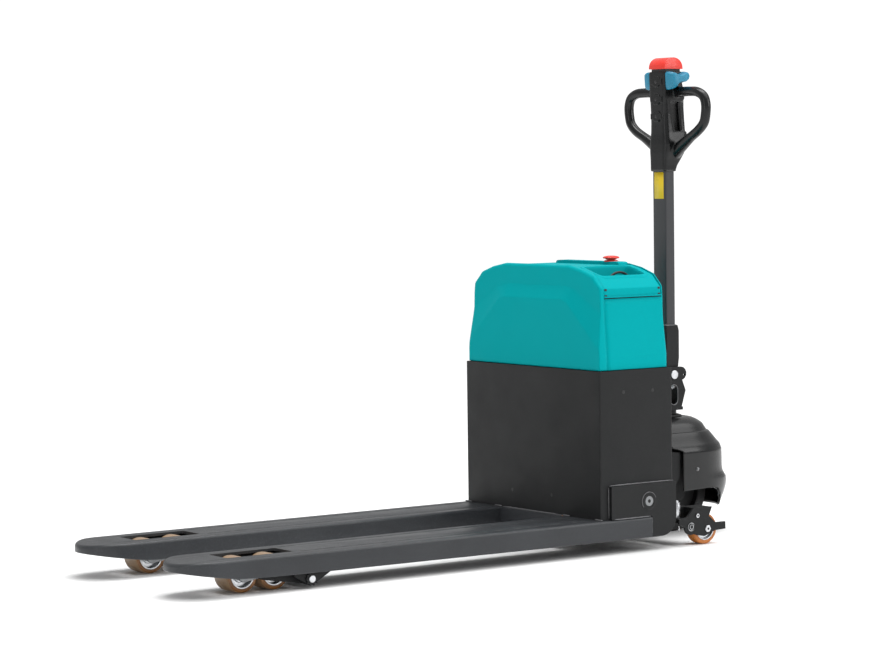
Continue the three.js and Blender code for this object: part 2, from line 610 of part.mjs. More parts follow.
// One outline of the motor cover: straight sides from its front edge and a round back.
function coverRing([z, back, halfWidth], inset, ahead) {
  const front = (z > MOTOR_COVER.topFrom ? MOTOR_COVER.topFront : MOTOR_COVER.front) - ahead;
  const ring = [[front, -halfWidth + inset, z], [front, halfWidth - inset, z]].toReversed();
  for (let i = 0; i <= MOTOR_COVER.sides; i += 1) {
    const angle = Math.PI / 2 - Math.PI * (i / MOTOR_COVER.sides);
    ring.push([DRIVE.x + (back - inset) * Math.cos(angle), (halfWidth - inset) * Math.sin(angle), z]);
  }
  return [ring[0], ...ring.slice(2), ring[1]].toReversed();
}

function motorCover() {
  const { wall } = MOTOR_COVER;
  const outer = loft(MOTOR_COVER_RINGS.map((ring) => coverRing(ring, 0, 0)));
  const under = (z) => (z === MOTOR_COVER_RINGS[0][0] ? z - 10 : z - (z > 200 ? wall : 0));
  const lowered = MOTOR_COVER_RINGS.map(([z, back, half]) => [under(z), back, half]);
  const inner = loft(lowered.map((ring) => coverRing(ring, wall, 5)));
  const underside = plateXZ(polygon([[370, 40], [370, 113], [470, 117], [490, 114], [530, 62], [530, 40]]),
    -200, 200);
  const neckHole = rodZ(DRIVE.x, 0, 36, 270, 300, 28);
  return cut(outer, inner, underside, neckHole);
}

function steeringBearing() {
  const { plateBottom, plateTop, bore } = HEAD_FRAME;
  return cut(rodZ(DRIVE.x, 0, bore - 0.4, plateBottom, plateTop, 24), rodZ(DRIVE.x, 0, 31, 220, 245, 24));
}

place("head_frame", headFrame(), "steel");
place("lift_cylinder", liftCylinder(), "steel");
place("hydraulic_unit", hydraulicUnit(), "black");
place("oil_tank", oilTank(), "black");
place("motor_cover", motorCover(), "gloss");
place("steering_bearing", steeringBearing(), "zinc");
for (const [name, side] of SIDES) {
  place(`castor_bracket_${name}`, castorBracket(side), "steel");
  place(`spring_post_${name}`, springPost(side), "zinc");
  place(`castor_tyre_${name}`, wheelTyre(CASTOR.x, side * CASTOR.y, CASTOR.z, CASTOR), "amber");
  place(`castor_hub_${name}`, wheelHub(CASTOR.x, side * CASTOR.y, CASTOR.z, CASTOR), "zinc");
}

// ---------------------------------------------------------------- steered drive unit

// Drive unit: top flange and kingpin, gearbox leg on one side and a cheek on the other.
function driveUnit() {
  const leg = new THREE.Shape();
  leg.moveTo(DRIVE.x - 46, 222);
  leg.lineTo(DRIVE.x - 46, DRIVE.z);
  leg.absarc(DRIVE.x, DRIVE.z, 46, Math.PI, Math.PI * 2, false);
  leg.lineTo(DRIVE.x + 46, 222);
  leg.closePath();
  const gearbox = plateXZ(leg, 38, 70);
  const cheek = plateXZ(barShape(DRIVE.x, 215, DRIVE.x, DRIVE.z, 26, 26), -48, -38)
    .intersect(box(300, 500, -60, 0, 60, 222));
  const flange = rodZ(DRIVE.x, 0, 76, 213, 223.5, 24);
  const kingpin = rodZ(DRIVE.x, 0, 30, 222, 246, 24);
  const axle = rodY(DRIVE.x, DRIVE.z, DRIVE.axle, -44, 40);
  return join(flange, kingpin, gearbox, cheek, axle);
}

function driveMotor() {
  return join(rodZ(DRIVE.x, 0, 56, 246.3, 278, 24), rodZ(DRIVE.x, 0, 30, 277, 286));
}

// Yoke: neck through the cover, two cheeks with a window and a rounded lug towards the driver.
function tillerYoke() {
  const cheek = new THREE.Shape();
  cheek.moveTo(404, 312);
  cheek.lineTo(446, 310);
  cheek.lineTo(461, 357);
  cheek.lineTo(450, 384);
  cheek.absarc(447, 400, 17, -Math.PI / 2.6, Math.PI / 2, false);
  cheek.lineTo(410, 417);
  cheek.absarc(410, 402, 15, Math.PI / 2, Math.PI, false);
  cheek.lineTo(395, 330);
  cheek.closePath();
  cheek.holes.push(slotShape(422, 334, 360, 12));
  const cheeks = [-1, 1].map((side) => plateXZ(cheek, ...span(side, YOKE.in, YOKE.out)));
  const neck = rodZ(DRIVE.x, 0, 28, 286 + GAP, 309);
  const base = box(398, 452, -YOKE.out, YOKE.out, 308, 316);
  const bridge = box(396, 405, -YOKE.out, YOKE.out, 309, 372);
  const rearWeb = box(440, 446, -YOKE.out, YOKE.out, 309, 364);
  const stops = [-1, 1].map((side) => rodY(457, 396, 3.6, ...span(side, 30, 42), 12));
  const pinHole = rodY(TILLER.pinX, TILLER.pinZ, YOKE.pinHole, -60, 60);
  return cut(join(neck, base, bridge, rearWeb, ...cheeks), pinHole, ...stops);
}

place("drive_unit", driveUnit(), "steel");
place("drive_motor", driveMotor(), "black");
place("tiller_yoke", tillerYoke(), "steel");
place("drive_tyre", wheelTyre(DRIVE.x, 0, DRIVE.z, DRIVE), "tread");
place("drive_hub", wheelHub(DRIVE.x, 0, DRIVE.z, DRIVE), "steel");

// ---------------------------------------------------------------- tiller

// Foot of the tiller: a socket for the tube that flares into two ears on the pin.
function tillerBracket() {
  const view = new THREE.Shape();
  view.moveTo(TILLER.x - 20, TILLER.foot);
  view.lineTo(TILLER.x - 20, 419);
  view.lineTo(409, 398);
  view.absarc(TILLER.pinX, TILLER.pinZ, 14, Math.PI, Math.PI * 2, false);
  view.lineTo(444, 419);
  view.lineTo(TILLER.x + 20, 440);
  view.lineTo(TILLER.x + 20, 508);
  view.lineTo(TILLER.x + 16, TILLER.foot);
  view.closePath();
  const block = plateXZ(view, -32, 32);
  const slot = box(380, 470, -22, 22, 370, 424);
  const bore = box(TILLER.x - 15.3, TILLER.x + 15.3, -25.3, 25.3, 440, 530);
  return cut(block, slot, bore, rodY(TILLER.pinX, TILLER.pinZ, 8.6, -60, 60));
}

function tillerPin() {
  return join(rodY(TILLER.pinX, TILLER.pinZ, 8.2, -41, 41),
    rodY(TILLER.pinX, TILLER.pinZ, 11, -43.5, -40.3, 16), rodY(TILLER.pinX, TILLER.pinZ, 11, 40.3, 43.5, 16));
}

function tillerTube() {
  const { x, halfX, halfY } = TILLER;
  return cut(box(x - halfX, x + halfX, -halfY, halfY, 440 + GAP, 930),
    box(x - halfX + 3, x + halfX - 3, -halfY + 3, halfY - 3, 430, 940));
}

// A loop of handle bar on one side of the head.
function gripLoop(side) {
  const curve = new THREE.CatmullRomCurve3(GRIP_LINE.map(([x, y, z]) => new THREE.Vector3(x, side * y, z)));
  const section = new THREE.Shape();
  section.absarc(0, 0, HEAD.bar, 0, Math.PI * 2, false);
  return solid(new THREE.ExtrudeGeometry(section, {
    steps: 20, bevelEnabled: false, curveSegments: 4, extrudePath: curve }));
}

// Head body: a neck on the tube that widens into a column with a window through it.
function tillerHead() {
  const { front, half, top } = HEAD;
  const frontView = polygon([[-29, TILLER.neck], [29, TILLER.neck], [29, 950], [half, 1010], [half, top],
    [-half, top], [-half, 1010], [-29, 950]]);
  const sideView = polygon([[front, TILLER.neck], [447, TILLER.neck], [451, 925], [475, 957], [484, 1007],
    [479, 1092], [468, 1130], [467, top], [front, top]]);
  const column = plateYZ(frontView, 380, 500).intersect(plateXZ(sideView, -60, 60));
  const socket = box(TILLER.x - 15.3, TILLER.x + 15.3, -25.3, 25.3, 900, 930.3);
  const window = plateXZ(polygon([[432, 1086], [458, 1086], [465, 1006], [447, 1006]]), -60, 60);
  const throttleBore = rodY(THROTTLE.x, THROTTLE.z, 8, -60, 60);
  const buttonBores = BUTTONS.map((z) => rodX(0, z, 10.6, front - 10, front + 13));
  const stemWell = box(422, 452, -15, 15, 1150.5, top + 5);
  return cut(join(column, gripLoop(-1), gripLoop(1)), socket, window, throttleBore, stemWell, ...buttonBores);
}

function headButton(z) {
  return rodX(0, z, 10, HEAD.front - 2.5, HEAD.front + 10);
}

// Butterfly throttle: a shaft through the head with a wing on each side.
function throttle() {
  const wing = polygon([[408, 1158], [470, 1157], [476, 1147], [462, 1133], [434, 1133], [420, 1112],
    [408, 1112]]);
  const wings = [-1, 1].map((side) => plateXZ(wing, ...span(side, HEAD.half + 0.6, 58)));
  return join(rodY(THROTTLE.x, THROTTLE.z, 7.2, -50, 50), ...wings);
}

// Red safety button across the top of the head.
function bellyButton() {
  const view = new THREE.Shape();
  view.moveTo(407, HEAD.capBottom);
  view.lineTo(467, HEAD.capBottom);
  view.absellipse(437, HEAD.capBottom + 4, 30, HEAD.capTop - HEAD.capBottom - 4, 0, Math.PI, false, 0);
  view.closePath();
  const stalk = box(423, 451, -14, 14, 1156, HEAD.capBottom + 1);
  return join(plateXZ(view, -HEAD.capHalf, HEAD.capHalf, 5), stalk);
}

place("tiller_bracket", tillerBracket(), "steel");
place("tiller_pin", tillerPin(), "zinc");
place("tiller_tube", tillerTube(), "tiller");
place("tiller_head", tillerHead(), "gloss");
place("throttle", throttle(), "wing");
place("belly_button", bellyButton(), "red");
BUTTONS.forEach((z, i) => place(`head_button_${i + 1}`, headButton(z), "black"));

export default truck;
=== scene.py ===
"""Electric walkie pallet truck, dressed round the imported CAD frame.

Numbers are millimetres in the truck's own frame: x runs from the fork tips to the tiller with 0 at the
front of the battery box, y is 0 on the centre line (the left side is negative) and z is 0 on the floor.
"""

import json
import math

import bmesh
import bpy
from mathutils import Matrix, Vector
from mathutils.geometry import tessellate_polygon


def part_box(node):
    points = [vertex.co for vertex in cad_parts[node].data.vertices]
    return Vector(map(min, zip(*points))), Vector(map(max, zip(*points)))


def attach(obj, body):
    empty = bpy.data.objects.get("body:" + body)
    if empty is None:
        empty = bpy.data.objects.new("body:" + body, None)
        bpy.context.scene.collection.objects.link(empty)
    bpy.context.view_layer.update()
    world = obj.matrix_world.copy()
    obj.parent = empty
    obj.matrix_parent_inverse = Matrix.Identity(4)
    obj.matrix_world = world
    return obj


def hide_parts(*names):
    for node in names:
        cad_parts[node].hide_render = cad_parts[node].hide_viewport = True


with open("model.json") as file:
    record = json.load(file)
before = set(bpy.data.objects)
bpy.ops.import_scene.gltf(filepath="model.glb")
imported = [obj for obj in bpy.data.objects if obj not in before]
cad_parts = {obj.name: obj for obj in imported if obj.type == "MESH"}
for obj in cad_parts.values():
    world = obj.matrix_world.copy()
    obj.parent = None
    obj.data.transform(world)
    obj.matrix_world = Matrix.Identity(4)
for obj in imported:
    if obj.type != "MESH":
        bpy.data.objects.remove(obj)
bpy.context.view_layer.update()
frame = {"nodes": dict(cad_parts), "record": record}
NODES = frame["nodes"]
FRONT_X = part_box("battery_box")[0].x
MM = 0.001


def at(x, y, z):
    """A point of the truck's own frame, in metres of the row frame."""
    return Vector((FRONT_X + x * MM, y * MM, z * MM))


def node_box(name):
    """A CAD node's lowest and highest corner in millimetres of the truck's own frame."""
    low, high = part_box(name)
    shift = Vector((FRONT_X, 0, 0))
    return (low - shift) / MM, (high - shift) / MM


SIDES = (("left", -1), ("right", 1))
FORK_CENTRE, BOX_HALF = 200.5, 268.5
KINGPIN = 427.0
BOGIE_X, BOGIE_REACH, LOAD_WHEEL_R = -937.5, 41.5, 40
ARM_PIN_X, ARM_PIN_Z = -823, 22
CASTOR_X, CASTOR_Y, CASTOR_R = 326, 254, 38
THROTTLE_X, THROTTLE_Z = 437, 1143

# ---------------------------------------------------------------- materials


def linear(rgb):
    """sRGB 0-255 to scene-linear."""
    return tuple((c / 255 / 12.92) if c <= 10 else ((c / 255 + 0.055) / 1.055) ** 2.4 for c in rgb) + (1.0,)


class Graph:
    """A short way to write a node material."""

    def __init__(self, name):
        self.material = bpy.data.materials.new(name)
        self.material.use_nodes = True
        self.tree = self.material.node_tree
        self.shader = self.tree.nodes["Principled BSDF"]
        self.coords = self.tree.nodes.new("ShaderNodeTexCoord").outputs["Object"]

    def node(self, kind, **settings):
        made = self.tree.nodes.new(kind)
        for key, value in settings.items():
            setattr(made, key, value)
        return made

    def link(self, out, socket):
        self.tree.links.new(out, socket)

    def noise(self, scale, detail=3.0, rough=0.5, stretch=None):
        made = self.node("ShaderNodeTexNoise")
        made.inputs["Scale"].default_value = scale
        made.inputs["Detail"].default_value = detail
        made.inputs["Roughness"].default_value = rough
        source = self.coords
        if stretch:
            mapping = self.node("ShaderNodeMapping")
            mapping.inputs["Scale"].default_value = stretch
            self.link(source, mapping.inputs["Vector"])
            source = mapping.outputs["Vector"]
        self.link(source, made.inputs["Vector"])
        return made.outputs["Fac"]

    def ramp(self, source, low, high, a, b):
        """Maps source from low..high to a..b."""
        made = self.node("ShaderNodeMapRange")
        for key, value in (("From Min", low), ("From Max", high), ("To Min", a), ("To Max", b)):
            made.inputs[key].default_value = value
        self.link(source, made.inputs["Value"])
        return made.outputs["Result"]

    def mix(self, factor, a, b):
        made = self.node("ShaderNodeMix", data_type="RGBA")
        self.link(factor, made.inputs["Factor"])
        for value, socket in ((a, made.inputs["A"]), (b, made.inputs["B"])):
            if isinstance(value, tuple):
                socket.default_value = value
            else:
                self.link(value, socket)
        return made.outputs["Result"]

    def math(self, operation, a, b):
        made = self.node("ShaderNodeMath", operation=operation)
        for value, socket in ((a, made.inputs[0]), (b, made.inputs[1])):
            if isinstance(value, float):
                socket.default_value = value
            else:
                self.link(value, socket)
        return made.outputs["Value"]

    def bump(self, height, distance, strength=1.0):
        made = self.node("ShaderNodeBump")
        made.inputs["Distance"].default_value = distance
        made.inputs["Strength"].default_value = strength
        self.link(height, made.inputs["Height"])
        self.link(made.outputs["Normal"], self.shader.inputs["Normal"])

    def edges(self, radius):
        """1 along convex and concave edges, 0 on flat faces."""
        soft = self.node("ShaderNodeBevel", samples=4)
        soft.inputs["Radius"].default_value = radius
        sharp = self.node("ShaderNodeNewGeometry").outputs["True Normal"]
        dot = self.node("ShaderNodeVectorMath", operation="DOT_PRODUCT")
        self.link(soft.outputs["Normal"], dot.inputs[0])
        self.link(sharp, dot.inputs[1])
        return self.ramp(dot.outputs["Value"], 0.995, 0.93, 0.0, 1.0)


def coated(name, rgb, rough, grain, depth, mottle=0.1, metallic=0.0, coat=0.0, specks=0.0,
    edge_wear_and_highlight=None, shine=0.5):
    """A painted or moulded surface: mottled colour, fine grain in the bump, and edges lightened in patches,
    partly as paint wear and partly as a painted highlight.
    """
    g = Graph(name)
    base = linear(rgb)
    dark = tuple(c * (1 - mottle) for c in base[:3]) + (1.0,)
    light = tuple(min(1.0, c * (1 + mottle)) for c in base[:3]) + (1.0,)
    cloud = g.ramp(g.noise(5.0, 4.0), 0.3, 0.7, 0.0, 1.0)
    colour = g.mix(cloud, dark, light)
    fine = g.noise(grain, 2.0, 0.6)
    if specks:
        speck = g.ramp(g.noise(grain * 0.8, 1.0), 0.60, 0.72, 0.0, specks)
        colour = g.mix(speck, colour, tuple(min(1.0, c * 3.2 + 0.02) for c in base[:3]) + (1.0,))
    # Edges lightened in noisy patches: partly real paint wear, partly a painted highlight along the edges.
    if edge_wear_and_highlight:
        patch = g.ramp(g.noise(38.0, 5.0, 0.7), 0.45, 0.62, 0.0, edge_wear_and_highlight[1])
        colour = g.mix(g.math("MULTIPLY", g.edges(edge_wear_and_highlight[2]), patch), colour, linear(edge_wear_and_highlight[0]))
    g.link(colour, g.shader.inputs["Base Color"])
    patchy = g.ramp(g.noise(11.0, 5.0), 0.3, 0.7, rough - 0.06, rough + 0.06)
    g.link(patchy, g.shader.inputs["Roughness"])
    g.shader.inputs["Metallic"].default_value = metallic
    g.shader.inputs["Specular IOR Level"].default_value = shine
    if coat:
        g.shader.inputs["Coat Weight"].default_value = coat
        g.shader.inputs["Coat Roughness"].default_value = 0.12
    g.bump(fine, depth)
    return g.material


def bare_metal(name, rgb, rough, stretch=(1.0, 1.0, 1.0)):
    """Zinc-plated or turned steel with fine streaks and a slightly uneven tone."""
    g = Graph(name)
    base = linear(rgb)
    streaks = g.noise(700.0, 3.0, 0.6, stretch)
    tone = g.mix(g.ramp(g.noise(60.0, 4.0), 0.3, 0.7, 0.0, 1.0), tuple(c * 0.72 for c in base[:3])
        + (1.0,), base)
    g.link(tone, g.shader.inputs["Base Color"])
    g.link(g.ramp(streaks, 0.3, 0.7, rough - 0.08, rough + 0.1), g.shader.inputs["Roughness"])
    g.shader.inputs["Metallic"].default_value = 1.0
    g.bump(streaks, 0.00008)
    return g.material


def polyurethane(name, rgb, dirty, rolled):
    """Cast polyurethane tread: waxy amber with dust, paler where it rolls on the floor."""
    g = Graph(name)
    turned = g.node("ShaderNodeSeparateXYZ")
    g.link(g.tree.nodes["Texture Coordinate"].outputs["Normal"], turned.inputs["Vector"])
    running = g.ramp(g.math("ABSOLUTE", turned.outputs["Y"], 0.0), 0.35, 0.8, 0.5, 0.0)
    dust = g.ramp(g.noise(70.0, 6.0, 0.7), 0.42, 0.7, 0.0, 0.55)
    cloud = g.mix(g.ramp(g.noise(18.0, 3.0), 0.3, 0.7, 0.0, 1.0), linear(rgb),
        tuple(c * 0.7 for c in linear(rgb)[:3]) + (1.0,))
    g.link(g.mix(running, g.mix(dust, cloud, linear(dirty)), linear(rolled)), g.shader.inputs["Base Color"])
    g.link(g.ramp(dust, 0.0, 0.5, 0.28, 0.6), g.shader.inputs["Roughness"])
    g.shader.inputs["Coat Weight"].default_value = 0.25
    g.shader.inputs["Coat Roughness"].default_value = 0.25
    g.bump(g.noise(420.0, 3.0), 0.00015)
    return g.material


# Both steel finishes lighten their edges: partly paint wear, partly a painted highlight.
STEEL = coated("powder_coat", (22, 23, 24), 0.5, 1100.0, 0.00022, 0.05, specks=0.3,
    edge_wear_and_highlight=((84, 84, 86), 0.5, 0.0012), shine=0.26)
FORK_STEEL = coated("fork_coat", (46, 48, 51), 0.38, 700.0, 0.0003, 0.16, specks=0.3,
    edge_wear_and_highlight=((120, 120, 120), 0.6, 0.0015), shine=0.4)
WELD = coated("weld_bead", (104, 104, 106), 0.4, 900.0, 0.0003, 0.2, metallic=0.4)
TEAL = coated("teal_moulding", (0, 157, 162), 0.5, 1500.0, 0.00009, 0.015, shine=0.03)
GLOSS = coated("gloss_moulding", (14, 15, 16), 0.24, 1300.0, 0.00001, 0.06, shine=0.36)
COVER_BLACK = coated("cover_moulding", (15, 16, 17), 0.26, 900.0, 0.00002, 0.07, shine=0.42)
TUBE = coated("tiller_paint", (47, 48, 51), 0.36, 1200.0, 0.0001, 0.06)
BLACK = coated("black_plastic", (20, 20, 21), 0.45, 1100.0, 0.0001, 0.1)
RUBBER = coated("black_rubber", (16, 16, 16), 0.6, 600.0, 0.0002, 0.15)
MOTOR = coated("motor_paint", (24, 24, 26), 0.42, 500.0, 0.0003, 0.15)
RED = coated("red_moulding", (228, 46, 30), 0.34, 1500.0, 0.00006, 0.04, coat=0.2)
BLUE = coated("blue_moulding", (24, 128, 160), 0.4, 1500.0, 0.00008, 0.05)
YELLOW = coated("label_film", (232, 198, 30), 0.4, 900.0, 0.00004, 0.05)
CASE = coated("battery_case", (84, 88, 94), 0.5, 700.0, 0.0002, 0.08)
TREAD = coated("drive_tread", (26, 26, 27), 0.66, 300.0, 0.0005, 0.2)
ZINC = bare_metal("zinc", (222, 224, 227), 0.3)
DULL_ZINC = bare_metal("dull_zinc", (150, 152, 154), 0.42)
AMBER = polyurethane("amber_tread", (206, 118, 30), (128, 84, 44), (196, 120, 44))
BROWN = polyurethane("load_tread", (150, 92, 22), (96, 74, 44), (160, 144, 118))

FINISH = {
    "frame_steel": STEEL, "teal_cover": TEAL, "black_moulding": GLOSS, "black_plastic": BLACK,
    "black_rubber": RUBBER, "motor_paint": MOTOR, "red_plastic": RED, "blue_plastic": BLUE, "zinc": ZINC,
    "amber_tyre": AMBER, "black_tyre": TREAD, "battery_case": CASE,
}

# ---------------------------------------------------------------- mesh helpers


def put(name, verts, faces, body, slot, material, smooth=None, bevel=0.0, segments=3,
    thick=0.0, replaces=()):
    """Makes a piece from corners in millimetres, closes its normals, and rides it on its CAD body."""
    mesh = bpy.data.meshes.new(name)
    bm = bmesh.new()
    made = [bm.verts.new(at(*v)) for v in verts]
    for face in faces:
        corners = [made[i] for i in face]
        if len(set(corners)) > 2:
            try:
                bm.faces.new(corners)
            except ValueError:
                continue
    bmesh.ops.remove_doubles(bm, verts=bm.verts, dist=0.00002)
    bmesh.ops.dissolve_degenerate(bm, edges=bm.edges, dist=0.00001)
    bmesh.ops.recalc_face_normals(bm, faces=bm.faces)
    bm.to_mesh(mesh)
    bm.free()
    for polygon in mesh.polygons:
        polygon.use_smooth = True
    if smooth:
        mesh.set_sharp_from_angle(angle=math.radians(smooth))
    obj = bpy.data.objects.new(name, mesh)
    bpy.context.scene.collection.objects.link(obj)
    obj.data.materials.append(material)
    if thick:
        shell = obj.modifiers.new("shell", "SOLIDIFY")
        shell.thickness = thick * MM
        shell.offset = -1
    if bevel:
        soften(obj, bevel, segments)
    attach(obj, body)
    if replaces:
        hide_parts(*replaces)
    return obj


def soften(obj, width, segments=3, angle=35):
    """Rounds an object's edges."""
    mod = obj.modifiers.new("edges", "BEVEL")
    mod.width = width * MM
    mod.segments = segments
    mod.limit_method = "ANGLE"
    mod.angle_limit = math.radians(angle)
    mod.harden_normals = True
    mod.use_clamp_overlap = True


def merged(*parts):
    """Several (corners, faces) pairs as one."""
    verts, faces = [], []
    for part_verts, part_faces in parts:
        start = len(verts)
        verts.extend(part_verts)
        faces.extend(tuple(i + start for i in face) for face in part_faces)
    return verts, faces


def loft(rings, closed=True, caps=(True, True)):
    """Quads between rings of equal length; caps close the first and last of closed rings."""
    count = len(rings[0])
    verts = [tuple(p) for ring in rings for p in ring]
    faces = []
    for k in range(len(rings) - 1):
        for i in range(count if closed else count - 1):
            a, b = k * count + i, k * count + (i + 1) % count
            faces.append((a, b, b + count, a + count))
    if closed and caps[0]:
        faces.append(tuple(range(count)))
    if closed and caps[1]:
        faces.append(tuple(range((len(rings) - 1) * count, len(rings) * count)))
    return verts, faces


def rounded(points, radius, steps=4):
    """A closed outline with its corners rounded; radius may be one number or one for each corner."""
    out = []
    for i, corner in enumerate(points):
        r = radius[i] if isinstance(radius, (list, tuple)) else radius
        p = Vector(corner)
        a, b = Vector(points[i - 1]) - p, Vector(points[(i + 1) % len(points)]) - p
        angle = a.angle(b)
        cut = min(r / math.tan(angle / 2), a.length * 0.48, b.length * 0.48)
        if cut < 0.02:
            out.append(tuple(p))
            continue
        start, end = p + a.normalized() * cut, p + b.normalized() * cut
        for s in range(steps + 1):
            t = s / steps
            out.append(tuple(start * (1 - t) ** 2 + p * (2 * t * (1 - t)) + end * t ** 2))
    return out


def rectangle(x0, x1, y0, y1, radius, steps=4):
    return rounded([(x0, y0), (x1, y0), (x1, y1), (x0, y1)], radius, steps)


PLANES = {
    "x": lambda a, b, h: (h, a, b),
    "y": lambda a, b, h: (a, h, b),
    "z": lambda a, b, h: (a, b, h),
}


def prism(outline, axis, low, high):
    """An outline in the plane across an axis, raised from low to high along it."""
    where = PLANES[axis]
    return loft([[where(a, b, h) for a, b in outline] for h in (low, high)])


def lathe(centre, axis, profile, sides=40, closed=False):
    """A profile of (radius, height) turned about an axis through centre; a closed profile makes a ring."""
    rings = []
    for i in range(sides):
        angle = 2 * math.pi * i / sides
        ring = []
        for r, h in profile:
            u, v = r * math.cos(angle), r * math.sin(angle)
            offset = {"x": (h, u, v), "y": (u, h, v), "z": (u, v, h)}[axis]
            ring.append(tuple(c + o for c, o in zip(centre, offset)))
        rings.append(ring)
    rings.append(rings[0])
    return loft(rings, closed=closed, caps=(False, False))


def sweep(path, radius, sides=12):
    """A round bar along a path; radius is a number or a function of the share of the way along."""
    points = [Vector(p) for p in path]
    rings, side = [], None
    for i, p in enumerate(points):
        ahead = (points[min(i + 1, len(points) - 1)] - points[max(i - 1, 0)]).normalized()
        if side is None:
            side = ahead.orthogonal().normalized()
        side = (side - ahead * side.dot(ahead)).normalized()
        other = ahead.cross(side)
        r = radius(i / (len(points) - 1)) if callable(radius) else radius
        turns = [2 * math.pi * k / sides for k in range(sides)]
        rings.append([tuple(p + side * (r * math.cos(a)) + other * (r * math.sin(a))) for a in turns])
    return loft(rings)


def smooth_path(points, steps):
    """A Catmull-Rom curve through points."""
    pts = [Vector(p) for p in points]
    pts = [pts[0] * 2 - pts[1]] + pts + [pts[-1] * 2 - pts[-2]]
    out = []
    for i in range(1, len(pts) - 2):
        a, b, c, d = pts[i - 1:i + 3]
        for s in range(steps):
            t = s / steps
            square, cube = 2 * a - 5 * b + 4 * c - d, 3 * b - a - 3 * c + d
            out.append(0.5 * ((2 * b) + (c - a) * t + square * t ** 2 + cube * t ** 3))
    out.append(pts[-2])
    return [tuple(p) for p in out]


def weld(name, points, radius, body, pitch=5.0):
    """A rippled weld bead along a line of points."""
    dense = []
    for a, b in zip(points, points[1:]):
        a, b = Vector(a), Vector(b)
        count = max(2, int((b - a).length / (pitch / 4)))
        dense.extend(tuple(a.lerp(b, i / count)) for i in range(count))
    dense.append(points[-1])
    total = len(dense)

    def bead(t):
        ends = min(1.0, 6 * t + 0.35, 6 * (1 - t) + 0.35)
        ripple = 0.2 * math.sin(t * total / 4 * 2 * math.pi) + 0.12 * math.sin(t * total * 0.31)
        return radius * ends * (1 + ripple)

    return put(name, *sweep(dense, bead, 8), body, "frame_steel", WELD)


def bolt(name, centre, axis, out, across, body, washer=True, material=None, rise=0.38):
    """A hexagon head on a washer, facing along axis with its seat at centre; out is +1 or -1."""
    r = across / 2
    height = across * rise
    seat = across * 0.1 if washer else 0.0
    parts = []
    if washer:
        parts.append(lathe(centre, axis, [(0, 0), (r * 1.32, 0), (r * 1.36, out * seat * 0.4),
            (r * 1.3, out * seat), (0, out * seat)], 28))
    hexagon = [(0, out * seat), (r, out * seat), (r, out * (seat + height * 0.8)),
        (r * 0.84, out * (seat + height)), (r * 0.5, out * (seat + height)),
        (r * 0.42, out * (seat + height * 0.84)), (0, out * (seat + height * 0.84))]
    parts.append(lathe(centre, axis, hexagon, 6))
    return put(name, *merged(*parts), body, "zinc", material or ZINC, smooth=25)


def dress(name, material=None, bevel=0.0, segments=2):
    """Gives a CAD node its finish, and rounds its edges with modifiers."""
    obj = NODES[name]
    obj.data.materials.clear()
    obj.data.materials.append(material)
    join_up = obj.modifiers.new("join", "WELD")
    join_up.merge_threshold = 0.00002
    if bevel:
        soften(obj, bevel, segments)
    else:
        flat = obj.modifiers.new("flat", "EDGE_SPLIT")
        flat.split_angle = math.radians(30)


SLOT_OF = {row["node"]: row["material_slot"] for row in frame["record"]["subparts"]}

# ---------------------------------------------------------------- forks

FORK_TOP, FORK_SHEET, FORK_ROUND = 83.0, 6.0, 7.0
FORK_TIP, FORK_HALF, FORK_HEEL, NOSE_STEPS = -1150.0, 80.0, 150.0, 20


def fork_under(x):
    """Height of the fork's lower edge."""
    stations = ((-1150, 60), (-1132, 57.5), (-1010, 38.5), (-860, 36.5), (0, 33), (150, 33))
    for (x0, z0), (x1, z1) in zip(stations, stations[1:]):
        if x <= x1:
            return z0 + (z1 - z0) * max(0.0, x - x0) / (x1 - x0)
    return 33.0


def fork_crown(x):
    return FORK_TOP - 5.0 * max(0.0, (-1085 - x) / 65) ** 2


def fork_outline(centre, inset, heel):
    nose = FORK_TIP + FORK_HALF
    half = FORK_HALF - inset
    stations = [heel - (heel - nose) * i / 24 for i in range(24)]
    right = [(x, centre + half) for x in stations]
    tip = [(nose - half * math.sin(math.pi * i / NOSE_STEPS),
        centre + half * math.cos(math.pi * i / NOSE_STEPS)) for i in range(NOSE_STEPS + 1)]
    return right + tip + [(x, y - 2 * half) for x, y in reversed(right)]


def filled(rings, heights):
    """A flat area inside the first ring and outside the others."""
    order = tessellate_polygon([[Vector((x, y, 0)) for x, y in ring] for ring in rings])
    flat = [p for ring in rings for p in ring]
    return [(x, y, heights(x, y)) for x, y in flat], [tuple(t) for t in order]


